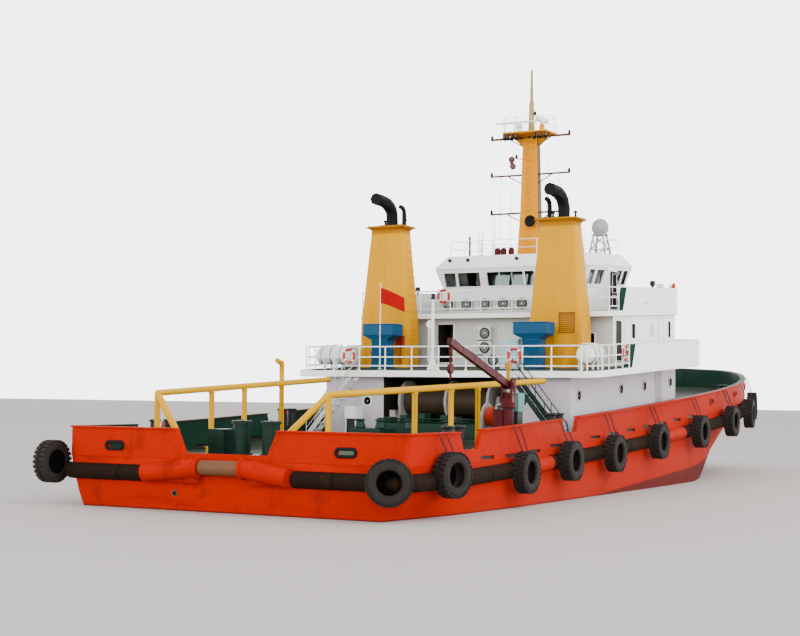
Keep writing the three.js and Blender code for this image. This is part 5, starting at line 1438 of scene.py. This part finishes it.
# The open doorway's frame on the after wall, and a bench and a locker beside it
box(shape, (UPPER_AFT - 0.012, 1.66, 5.72), (UPPER_AFT + 0.02, 1.7, 7.66))
box(shape, (UPPER_AFT - 0.012, 1.66, 7.62), (UPPER_AFT + 0.02, 2.5, 7.66))
box(shape, (20.3, -2.3, 5.55), (20.85, -1.3, 6.05))
box(shape, (20.45, 3.62, 5.55), (20.9, 4.2, 6.4), 1)
for y in (-5.2, -3.6, 4.6):
    box(shape, (UPPER_AFT - 0.02, y - 0.3, 6.5), (UPPER_AFT + 0.01, y + 0.3, 7.1), 3)
    outline = [(UPPER_AFT - 0.02, y + a * 0.3, 6.8 + b * 0.3) for a, b in CORNERS]
    tube(shape, outline, 0.03, 6, closed=True)
new_piece("upper_deckhouse_doors_and_windows", shape,
          [white_paint, black_steel, doorway_shade, porthole_glass, shaded_after_wall], bevel=0.006)

# Air conditioners on the bridge deck
# Five outdoor units stand on one sill behind the rail.
shape = bmesh.new()
bridge_z = 8.06 + (20.67 - 20.2) * DECK_RAKE
box(shape, (20.52, -2.4, bridge_z + 0.002), (20.92, 2.4, bridge_z + 0.12))
for k in range(-2, 3):
    fan_unit(shape, (20.7, k * 0.96, bridge_z + 0.4), AFT, tall=0.54, deep=0.34)
units = new_piece("aircon_row_finished", shape, [unit_white, fan_dark], bevel=0.01)
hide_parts("aircon_row")

# Wheelhouse
# A raked white house whose walls lean out from the sills. Its windows have steel frames, tinted glass and
# pale curtains. There are wing doors, and a console and two seats within.
SILL, HEAD = 9.56, 10.28
HOUSE = {"aft": 23.8, "front": 29.2, "half": 3.78, "lean": 0.3, "top": 10.45}
AFT_PANES = [(-3.64, -2.98), (-2.88, -1.65), (-1.28, -0.76), (-0.68, 1.28), (1.65, 2.88), (2.98, 3.64)]
SIDE_PANES = [(23.95, 24.7), (24.9, 25.9), (27.48, 28.25), (28.4, 29.05)]
inside_grey = painted("wheelhouse_inside", (0.1, 0.1, 0.09), wear=0.05, streaks=0.05, roughness=0.6)


def window_glass():
    """Thin tinted glass that shows the room behind it."""
    material = bpy.data.materials.new("tinted_window_glass")
    material.use_nodes = True
    add, shader, link, place = node_maker(material)
    shader.inputs["Base Color"].default_value = (0.3, 0.34, 0.33, 1)
    shader.inputs["Transmission Weight"].default_value = 1.0
    shader.inputs["IOR"].default_value = 1.1
    link(between(add, noise(add, place, 3.0), 0, 1, 0.02, 0.2), shader.inputs["Roughness"])
    return material


glass = window_glass()
curtain = painted("curtain_cloth", (0.85, 0.86, 0.84), wear=0.0, streaks=0.1, roughness=0.9, gloss=0.05)
frame_grey = painted("window_frame_green_grey", (0.45, 0.52, 0.46), wear=0.1, streaks=0.1, roughness=0.5)


def inside_the_wheelhouse(face):
    centre, out = middle_of(face), face.normal
    inner_x = HOUSE["aft"] + 0.1 < centre.x < HOUSE["front"] - 0.1
    toward = -(centre.y * out.y) - (centre.x - 26.5) * out.x * 0.5
    return 1 if inner_x and abs(centre.y) < HOUSE["half"] + 0.3 and toward > 0.3 and abs(out.z) < 0.5 else 0


dress("wheelhouse", [white_paint, inside_grey], bevel=0.012, paint_faces=inside_the_wheelhouse)
# The wing doors are painted near-black as painted shade of open doorways
for side in ("port", "starboard"):
    dress(f"wing_door_{side}", doorway_shade, bevel=0.008)
dress("wheelhouse_roof", white_paint, bevel=0.03)


def lean_at(z):
    """How far the wall stands outside its foot at a height of the unraked house."""
    return max(0, (z - SILL + 0.1) / (HOUSE["top"] - SILL + 0.1)) * HOUSE["lean"]


def raked_point(x, y, z):
    return (x, y, z + (x - HOUSE["aft"]) * DECK_RAKE)


# How far the parts of a window lie within the wall's outer face, and how far its glass laps behind the wall
GLASS_INSET, RIM_INSET, CURTAIN_INSET = 0.07, -0.004, 0.2
LAP = 0.03


def wall_point(wall, spot, z, inset, ripple=0.0):
    """A point within an after, front or side wall; the wall is (axis, sign)."""
    axis, sign = wall
    if axis == "x":
        base = HOUSE["aft"] if sign < 0 else HOUSE["front"]
        return raked_point(base + sign * (lean_at(z) - inset) + ripple, spot, z)
    return raked_point(spot, sign * (HOUSE["half"] + lean_at(z) - inset) + ripple, z)


def pane(shape, along, wall):
    """The glass of a window, which laps behind its opening's edges."""
    axis, sign = wall
    corners = [wall_point(wall, spot, z, GLASS_INSET) for z in (SILL - LAP, HEAD + LAP)
               for spot in (along[0] - LAP, along[1] + LAP)]
    thick = Vector((sign * 0.012, 0, 0)) if axis == "x" else Vector((0, sign * 0.012, 0))
    outer, inner = ([shape.verts.new(at(*(Vector(corners[k]) + way * thick))) for k in (0, 1, 3, 2)]
                    for way in (1, -1))
    skin_rings(shape, [inner, outer])


def window_rim(shape, along, wall):
    """The raised frame welded round a window opening."""
    start, end = along
    outline = ((start, SILL), (end, SILL), (end, HEAD), (start, HEAD))
    line = [wall_point(wall, spot, z, RIM_INSET) for spot, z in outline]
    tube(shape, line, 0.028, 6, closed=True)


def drape(shape, along, wall):
    """A gathered curtain behind a window."""
    folds = max(6, round((along[1] - along[0]) / 0.045))
    rows = []
    for z in (HEAD + 0.02, SILL - 0.03):
        spots = [along[0] + (along[1] - along[0]) * i / folds for i in range(folds + 1)]
        rows.append([shape.verts.new(at(*wall_point(wall, spot, z, CURTAIN_INSET, 0.022 * (-1) ** i)))
                     for i, spot in enumerate(spots)])
    for i in range(folds):
        shape.faces.new((rows[0][i], rows[0][i + 1], rows[1][i + 1], rows[1][i]))


panes = bmesh.new()
rims = bmesh.new()
drapes = bmesh.new()
front_pitch = 2 * (HOUSE["half"] - 0.15) / 7
front_panes = [(0.15 - HOUSE["half"] + front_pitch * i + 0.07,
                0.15 - HOUSE["half"] + front_pitch * (i + 1) - 0.07) for i in range(7)]
for wall, spans in ((("x", -1), AFT_PANES), (("x", 1), front_panes), (("y", 1), SIDE_PANES),
                    (("y", -1), SIDE_PANES)):
    for span in spans:
        pane(panes, span, wall)
        window_rim(rims, span, wall)
# Curtains are drawn over parts of the after and side windows
for span in ((-2.85, -2.5), (-1.95, -1.68), (1.68, 1.95), (2.45, 2.85), (3.2, 3.62), (-3.62, -3.2)):
    drape(drapes, span, ("x", -1))
for sign in (-1, 1):
    for span in ((24.0, 24.4), (24.95, 25.85), (27.5, 27.8), (28.45, 29.0)):
        drape(drapes, span, ("y", sign))
# Green mullions part the wide after window
for spot in (-0.05, 0.62):
    line = [raked_point(HOUSE["aft"] - lean_at(z) + 0.05, spot, z) for z in (SILL, HEAD)]
    tube(rims, line, 0.03, 6, 1)
new_piece("wheelhouse_glass", panes, glass)
new_piece("wheelhouse_window_frames", rims, [white_paint, frame_grey])
drape_area = sum(face.calc_area() for face in drapes.faces)
solid_drapes = new_piece("wheelhouse_curtains", drapes, curtain, sharp=80)
cloth_thickness = solid_drapes.modifiers.new("cloth thickness", "SOLIDIFY")
cloth_thickness.thickness = 0.002

shape = bmesh.new()
floor_z = 8.06 + (26.5 - 20.2) * DECK_RAKE
box(shape, (27.9, -2.6, floor_z), (28.7, 2.6, floor_z + 1.15))
for y in (-1.8, -0.6, 0.6, 1.8):
    box(shape, (27.95, y - 0.35, floor_z + 1.15), (28.5, y + 0.35, floor_z + 1.45), 1)
for y in (-1.2, 1.2):
    box(shape, (26.5, y - 0.28, floor_z + 0.5), (27.05, y + 0.28, floor_z + 0.62), 1)
    box(shape, (26.42, y - 0.28, floor_z + 0.6), (26.54, y + 0.28, floor_z + 1.35), 1)
    post(shape, (26.8, y), floor_z, floor_z + 0.5, 0.06, 10, 1)
box(shape, (24.1, -0.6, floor_z - 0.1), (24.6, 1.2, floor_z + 1.1))
box(shape, (24.2, 2.0, floor_z - 0.1), (24.9, 3.2, floor_z + 1.3), 1)
new_piece("wheelhouse_console_and_seats", shape, [inside_grey, fan_dark], bevel=0.02)

# The wing doors' dark glass panes, with the doors' near-black paint, stand for the shade of open doorways
for side, sign in SIDES:
    shape = bmesh.new()
    y = sign * 4.175
    x0, x1 = 26.42, 26.98
    for low, high in ((9.3, 10.22), (8.62, 9.16)):
        box(shape, (x0, y - 0.03, low), (x1, y + 0.03, high))
        outline = [(a, y + sign * 0.03, b) for a, b in ((x0, low), (x1, low), (x1, high), (x0, high))]
        tube(shape, outline, 0.018, 6, 1, closed=True)
    tube(shape, [(26.46, y + sign * 0.03, 9.5), (26.46, y + sign * 0.09, 9.5),
                 (26.58, y + sign * 0.09, 9.5)], 0.015, 6, 2)
    new_piece(f"wing_door_{side}_window", shape, [porthole_glass, white_paint, black_steel],
              body=f"wing_door_{side}")
    shape = bmesh.new()
    # Floodlight on its post on the wing, with the side light's screen ahead
    box(shape, (27.9, sign * 6.1 - 0.16, 9.55), (28.2, sign * 6.1 + 0.16, 9.78))
    post(shape, (28.05, sign * 6.1), 9.3, 9.57, 0.03, 6)
    box(shape, (28.7, sign * 6.3 - 0.02, 9.55), (29.2, sign * 6.3 + 0.02, 9.8))
    lathe(shape, (29.1, sign * 6.42, 9.57), UP, [(0, 0.09), (0.24, 0.09), (0.3, 0.05), (0.33, 0.02)], 14, 2)
    lathe(shape, (26.0, sign * 6.42, 9.4), UP, [(0, 0.05), (0.12, 0.05), (0.16, 0.13), (0.36, 0.13),
                                                (0.4, 0.04)], 16, 1)
    for spot in (22.8, 24.6, 26.0):
        lathe(shape, (spot, sign * 6.56, 8.5 + (spot - 22) * DECK_RAKE), (0, sign, 0),
              [(0, 0.05), (0.06, 0.07), (0.12, 0.07), (0.14, 0.02)], 12)
    new_piece(f"wing_lights_{side}", shape, [white_paint, black_steel, buoy_red], bevel=0.01)

# Wheelhouse roof
# The parapet has lamps along its after face. Whip aerials, red lamps, boxes and a searchlight stand behind
# it, inside a low rail.


def roof_z(x):
    return 10.6 + (x - HOUSE["aft"]) * DECK_RAKE


def parapet_z(x):
    return 11.11 + (x - HOUSE["aft"]) * DECK_RAKE


shape = bmesh.new()
for y in (3.3, 2.3, -0.35):
    lathe(shape, (23.66, y, 10.9), (-1, 0, -0.2), [(0, 0.03), (0.04, 0.08), (0.14, 0.09), (0.15, 0.07),
                                                   (0.14, 0.01)], 14, 1)
post(shape, (24.15, 2.49), 10.6, 12.1, 0.055, 8, 1)
for x, y, height in ((24.3, 1.9, 1.4), (24.4, -2.6, 1.5), (28.5, 3.2, 2.6), (28.6, -1.8, 2.0)):
    foot = roof_z(x)
    tube(shape, [(x, y, foot), (x, y, foot + 0.4), (x, y, foot + height)], [0.035, 0.022, 0.008], 6, 1)
for y in (1.05, 0.72, 0.3):
    lathe(shape, (24.35, y, roof_z(24.35)), UP, [(0, 0.1), (0.45, 0.1), (0.46, 0.15), (0.78, 0.15),
                                                 (0.88, 0.08), (0.9, 0.02)], 14, 2)
box(shape, (24.9, 2.4, 10.66), (25.6, 3.1, 11.15))
box(shape, (27.2, 1.6, 10.8), (28.3, 2.7, 11.2))
lathe(shape, (28.9, 0.0, roof_z(28.9) + 0.55), (1, 0, 0.1),
      [(-0.25, 0.05), (-0.2, 0.2), (0.1, 0.25), (0.14, 0.26), (0.12, 0.2), (0.1, 0.02)])
post(shape, (28.9, 0), roof_z(28.9), roof_z(28.9) + 0.4, 0.05, 10)
# A ladder aerial and the low rail round the roof
for y in (2.02, 1.78):
    post(shape, (24.15, y), roof_z(24.15), 12.3, 0.016, 5, 1)
for k in range(6):
    tube(shape, [(24.15, y, 10.9 + k * 0.25) for y in (2.02, 1.78)], 0.012, 5, 1)
rail_line = [(24.05, -3.5), (24.05, 3.5), (29.0, 3.5), (29.0, -3.5)]
for lift in (0.45, 0.85):
    tube(shape, [(x, y, parapet_z(x) + lift - 0.1) for x, y in rail_line], 0.016, 6, closed=True)
for x, y in rail_line + [(24.05, 1.2), (24.05, -1.2), (25.7, 3.5), (27.4, 3.5), (25.7, -3.5), (27.4, -3.5),
                         (29.0, 1.2), (29.0, -1.2)]:
    post(shape, (x, y), roof_z(x), parapet_z(x) + 0.77, 0.018, 6)
new_piece("roof_lamps_and_aerials", shape, [white_paint, black_steel, maroon], bevel=0.006)

# Mast
# A tapering yellow box mast with a radar platform, three signal yards, a ladder, navigation lamps in pairs,
# a round horn and day shapes on a halyard.
mast_yellow = painted("mast_yellow", (0.68, 0.265, 0.0), stain=(0.24, 0.07, 0.01), wear=0.2, streaks=0.35,
                      gloss=0.03)
yard_brown_and_mast_shade = painted("yard_brown_and_painted_mast_shade", (0.09, 0.035, 0.012), wear=0.3, roughness=0.5)
topmast_khaki = painted("topmast_khaki", (0.36, 0.27, 0.1), wear=0.3, roughness=0.5, gloss=0.05)
MAST_X = 26.0
MAST_FOOT = 10.65
PLATFORM = 17.4
YARDS = TOP_YARD, MIDDLE_YARD, LOW_YARD = (17.18, 15.29, 13.37)
YARD_X = MAST_X - 0.15


def mast_faces(face):
    """Dark yards and a strip of painted shade on the starboard face; the topmast is a paler khaki."""
    centre = middle_of(face)
    if centre.z > PLATFORM + 0.5:
        return 2
    reach = max(abs(vert.co.y) for vert in face.verts) / MODEL_SCALE
    if reach > 1.3 or (abs(centre.y) > mast_half(centre.z)[1] + 0.05 and centre.z < PLATFORM - 0.5):
        return 1
    # The starboard face is painted dark as painted shade
    return 1 if face.normal.y < -0.85 and centre.z < PLATFORM - 0.4 else 0


def mast_half(z):
    """Half the mast's length and breadth at a height."""
    levels = [(MAST_FOOT, 0.33, 0.65), (LOW_YARD, 0.24, 0.49), (PLATFORM, 0.17, 0.39)]
    for (z0, l0, w0), (z1, l1, w1) in zip(levels, levels[1:]):
        if z <= z1:
            t = (z - z0) / (z1 - z0)
            return l0 + t * (l1 - l0), w0 + t * (w1 - w0)
    return 0.15, 0.15


dress("mast", [mast_yellow, yard_brown_and_mast_shade, topmast_khaki], bevel=0.015, paint_faces=mast_faces)
dress("radar_scanner", raft_white, bevel=0.04)


def lamp(shape, place, size):
    """A navigation lamp: a drum lens between two caps."""
    lathe(shape, place, UP, [(0, size * 0.5), (0.01, size), (size * 0.5, size), (size * 0.55, size * 0.8),
                             (size * 1.6, size * 0.8), (size * 1.7, size), (size * 2.1, size * 0.6),
                             (size * 2.4, size * 0.1)], 14, 1)


shape = bmesh.new()
# Ladder on the after face
for side in (-0.17, 0.17):
    rail = [(MAST_X - mast_half(z)[0] - 0.09, side, z) for z in (MAST_FOOT + 0.1, LOW_YARD, PLATFORM - 0.1)]
    tube(shape, rail, 0.02, 5)
for k in range(21):
    z = MAST_FOOT + 0.3 + k * 0.315
    x = MAST_X - mast_half(z)[0] - 0.09
    tube(shape, [(x, -0.17, z), (x, 0.17, z)], 0.014, 5)
# Platform rail and its posts
line = [(MAST_X + a, b) for a, b in ((-0.88, -1.18), (0.5, -1.18), (0.5, 1.18), (-0.88, 1.18))]
for lift in (0.35, 0.7):
    tube(shape, [(x, y, PLATFORM + lift) for x, y in line], 0.012, 6, 3, closed=True)
for x, y in line + [(MAST_X - 0.88, 0.0), (MAST_X + 0.5, 0.0)]:
    post(shape, (x, y), PLATFORM, PLATFORM + 0.7, 0.012, 6, 3)
# Gussets, lamps and fittings on the yards
for level in YARDS:
    for sign in (-1, 1):
        width = mast_half(level)[1]
        arm = [(YARD_X, sign * width, level - 0.45),
               (YARD_X, sign * (width + 0.75), level - 0.03)]
        tube(shape, arm, 0.028, 6, 2)
        for spot in (1.1, 1.6, 2.1):
            post(shape, (YARD_X, sign * spot), level, level - 0.14, 0.012, 5, 1)
    for sign in (-1, 1):
        lamp(shape, (YARD_X, sign * 2.12, level + 0.05), 0.075)
side_y = 0.9 * mast_half(16.1)[1]
tube(shape, [(MAST_X - 0.1, side_y, 16.1), (MAST_X - 0.35, side_y + 0.28, 16.1)], 0.022, 6)
lamp(shape, (MAST_X - 0.35, side_y + 0.28, 16.12), 0.085)
lamp(shape, (MAST_X - 0.1, -0.24, 18.3), 0.08)
tube(shape, [(MAST_X - 0.1, 0.0, 18.3), (MAST_X - 0.1, -0.24, 18.3)], 0.02, 6)
for y in (-1.1, -0.8, -0.5, 0.5, 0.72, 0.95, 1.12):
    box(shape, (MAST_X - 0.86, y - 0.07, PLATFORM - 0.3), (MAST_X - 0.7, y + 0.07, PLATFORM - 0.06), 2)
    lathe(shape, (MAST_X - 0.78, y, PLATFORM - 0.42), UP, [(0, 0.05), (0.03, 0.09), (0.14, 0.09)], 10, 1)
# Thin scanner bar of the second radar, its gearbox, and small aerials on the platform
lathe(shape, (MAST_X - 0.3, 0.55, PLATFORM), UP, [(0, 0.14), (0.25, 0.12), (0.3, 0.17), (0.45, 0.17),
                                                  (0.5, 0.05)], 16, 3)
tube(shape, [(MAST_X - 0.3, -0.75, PLATFORM + 0.56), (MAST_X - 0.3, 1.85, PLATFORM + 0.56)], 0.045, 6, 3)
for x, y, height in ((MAST_X + 0.4, 1.1, 1.3), (MAST_X + 0.4, -1.1, 0.9), (MAST_X - 0.8, 1.1, 0.8)):
    tube(shape, [(x, y, PLATFORM), (x, y, PLATFORM + height * 0.5), (x, y, PLATFORM + height)],
         [0.02, 0.015, 0.006], 5, 1)
# Round horn on the after face
lathe(shape, (MAST_X - 0.34, -0.2, 12.9), AFT, [(0, 0.06), (0.1, 0.07), (0.16, 0.2), (0.2, 0.29),
                                                (0.22, 0.3), (0.2, 0.24), (0.15, 0.1), (0.14, 0.01)], 24, 1)
new_piece("mast_fittings", shape, [mast_yellow, soot_black_and_hole_shade, yard_brown_and_mast_shade, raft_white])

shape = bmesh.new()
for y, top in ((1.6, MIDDLE_YARD), (-1.6, MIDDLE_YARD), (0.95, TOP_YARD), (-1.1, TOP_YARD), (2.0, LOW_YARD),
               (-2.0, LOW_YARD)):
    tube(shape, [(YARD_X, y, top), (MAST_X - 0.6, y * 0.9, roof_z(25.5) + 0.3)], 0.008, 4)
shape_grey = painted("day_shape_grey_purple", (0.13, 0.06, 0.075), wear=0.2, roughness=0.7)
# Day shapes: two balls and a diamond hoisted on one halyard
for z, y in ((16.1, 0.97), (15.75, 0.9)):
    lathe(shape, (MAST_X - 0.25, y, z), UP, [(-0.16, 0.02), (-0.13, 0.1), (-0.06, 0.155), (0, 0.165),
                                             (0.06, 0.155), (0.13, 0.1), (0.16, 0.02)], 14, 1)
lathe(shape, (MAST_X - 0.27, 0.96, 15.93), UP, [(-0.12, 0.01), (0, 0.12), (0.12, 0.01)], 14, 1)
new_piece("mast_halyards_and_shapes", shape, [wire_steel, shape_grey])

# Satellite dome
# A grey moulded dome on a ring and a small lattice stand.
dome_grey = painted("dome_weathered_grey", (0.3, 0.3, 0.3), stain=(0.1, 0.08, 0.07), wear=0.5, streaks=0.6,
                    roughness=0.5)
shape = bmesh.new()
x, y = 27.8, -3.0
profile = [(-0.42, 0.2), (-0.4, 0.34), (-0.36, 0.345), (-0.35, 0.3), (-0.2, 0.4), (-0.05, 0.428),
           (0.0, 0.43), (0.03, 0.436), (0.06, 0.428), (0.16, 0.4), (0.27, 0.33), (0.36, 0.23), (0.41, 0.12),
           (0.43, 0.01)]
lathe(shape, (x, y, 12.7), UP, profile, 32)
lathe(shape, (x, y, 12.28), UP, [(0, 0.2), (0, 0.41), (0.04, 0.42), (0.06, 0.4), (0.06, 0.2)], 28,
      closed=True)


def leg_point(corner, t):
    """A point on a leg of the stand, from its foot at 0 to its head at 1."""
    a, b = corner
    foot = (x + a * 0.5, y + b * 0.5, roof_z(x) + 0.01)
    head = (x + a * 0.24, y + b * 0.24, 12.3)
    return [p + t * (q - p) for p, q in zip(foot, head)]


for corner, following in zip(CORNERS, CORNERS[1:] + CORNERS[:1]):
    tube(shape, [leg_point(corner, 0), leg_point(corner, 1)], 0.055)
    for t, u, radius in ((0.05, 0.48, 0.03), (0.48, 0.92, 0.03), (0.5, 0.5, 0.024)):
        tube(shape, [leg_point(corner, t), leg_point(following, u)], radius, 6)
dome = new_piece("satellite_dome_finished", shape, dome_grey)
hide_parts("satellite_dome")

# Foredeck
# Green windlass and mooring gear behind the raised bow, with rolled fairleads in the bulwark, a short
# signal mast and vents.
for node in ("windlass_frame", "windlass_drum"):
    dress(node, mid_green)
for side in ("port", "starboard"):
    dress(f"anchor_{side}", black_steel, bevel=0.012)
shape = bmesh.new()
for sign in (-1, 1):
    for x in (33.2, 43.0):
        foot = deck_height(x)
        y = sign * (deck_half(x) - 1.3)
        for step in (-0.42, 0.42):
            lathe(shape, (x + step, y, foot - 0.02), UP,
                  [(0, 0.19), (0.62, 0.17), (0.64, 0.2), (0.7, 0.2), (0.72, 0.02)], 18)
        box(shape, (x - 0.7, y - 0.24, foot - 0.02), (x + 0.7, y + 0.24, foot + 0.08))
    x = 31.6
    lathe(shape, (x, sign * 4.4, deck_height(x) - 0.02), UP,
          [(0, 0.2), (0.9, 0.2), (0.92, 0.36), (1.12, 0.4), (1.24, 0.3), (1.28, 0.02)], 20)
    box(shape, (35.2, sign * 2.6 - 0.45, deck_height(35.2) - 0.05),
        (36.3, sign * 2.6 + 0.45, deck_height(36) + 0.75))
    chain_line = [(39.0, sign * 0.83, 4.9), (40.2, sign * 0.95, 4.35), (41.6, sign * 1.4, 4.25)]
    tube(shape, chain_line, 0.07, 6)
foot = deck_height(46)
post(shape, (46.2, 0), foot - 0.1, foot + 2.6, [0.07, 0.04], 10)
lathe(shape, (46.2, 0, foot + 2.6), UP, [(0, 0.04), (0.02, 0.09), (0.16, 0.09), (0.2, 0.02)], 12)
new_piece("foredeck_gear", shape, mid_green, bevel=0.012)

shape = bmesh.new()
for sign in (-1, 1):
    for x in (32.6, 37.6, 42.8):
        z = rail_height(x) - 0.42
        lean = (deck_half(x + 0.05) - deck_half(x - 0.05)) / 0.1
        along = Vector((1, sign * lean, 0)).normalized()
        out = Vector((-lean, sign, 0)).normalized()
        middle = Vector((x, sign * deck_half(x), z)) + out * 0.005
        oval = [middle + along * (0.3 * math.copysign(abs(math.cos(a)) ** 0.6, math.cos(a)))
                + Vector((0, 0, 0.15 * math.sin(a))) for a in angles(20)]
        tube(shape, oval, 0.045, closed=True)
        # A near-black disc fills each fairlead's opening as painted shade of the hole
        rings = [[shape.verts.new(at(*(p + out * lift))) for p in oval] for lift in (-0.01, 0.012)]
        skin_rings(shape, rings, 1)
for sign in (-1, 1):
    middle = Vector((0.0, sign * 4.96, 2.26))
    oval = [middle + Vector((-0.015, 0, 0))
            + Vector((0, 0.26 * math.copysign(1, math.cos(a)) + 0.13 * math.cos(a), 0.13 * math.sin(a)))
            for a in [0.001 + k * math.tau / 20 for k in range(20)]]
    tube(shape, oval, 0.06, 8, 1, closed=True)
new_piece("fairlead_lips", shape, [orange_hull, soot_black_and_hole_shade])

# Transom seams
# Doubling strips down the transom beside the roller's fairings, one with a rusted scupper.
shape = bmesh.new()
for y, high in ((2.13, 1.28), (-1.92, 1.16), (-2.34, 1.12)):
    box(shape, (-0.012, y - 0.035, 0.16), (0.01, y + 0.035, high))
lathe(shape, (-0.004, 2.17, 0.62), AFT, [(0, 0.13), (0.03, 0.13), (0.035, 0.09), (0.01, 0.085)], 16, 1)
# A near-black disc in the scupper is painted shade of its hole
lathe(shape, (-0.004, 2.17, 0.62), AFT, [(0, 0.09), (0.012, 0.085)], 16, 2)
new_piece("transom_seams", shape, [orange_hull, rusty_steel, soot_black_and_hole_shade])

# Below the waterline
# Red-brown bottom paint on nozzles and rudders, zinc blocks, and bronze propellers.
antifouling = painted("antifouling_red", (0.13, 0.016, 0.012), stain=(0.06, 0.07, 0.03), wear=0.5,
                      streaks=0.2, roughness=0.8)
bronze = painted("cast_bronze", (0.45, 0.23, 0.06), stain=(0.1, 0.13, 0.08), wear=0.4, streaks=0.0,
                 roughness=0.35, gloss=0.5)
bronze.node_tree.nodes["Principled BSDF"].inputs["Metallic"].default_value = 0.9
for side in ("port", "starboard"):
    dress(f"nozzle_{side}", antifouling)
    dress(f"rudder_{side}", antifouling)
    dress(f"propeller_{side}", bronze, bevel=0.01)
zinc = painted("zinc_anode", (0.35, 0.36, 0.37), wear=0.3, roughness=0.6)
for side, sign in SIDES:
    shape = bmesh.new()
    for face in (-1, 1):
        middle = sign * 3.0 + face * 0.125
        for z in (-3.4, -2.6):
            box(shape, (1.6, middle - 0.03, z - 0.28), (1.84, middle + 0.03, z + 0.28))
    new_piece(f"rudder_zinc_{side}", shape, zinc, body=f"rudder_{side}", bevel=0.02)
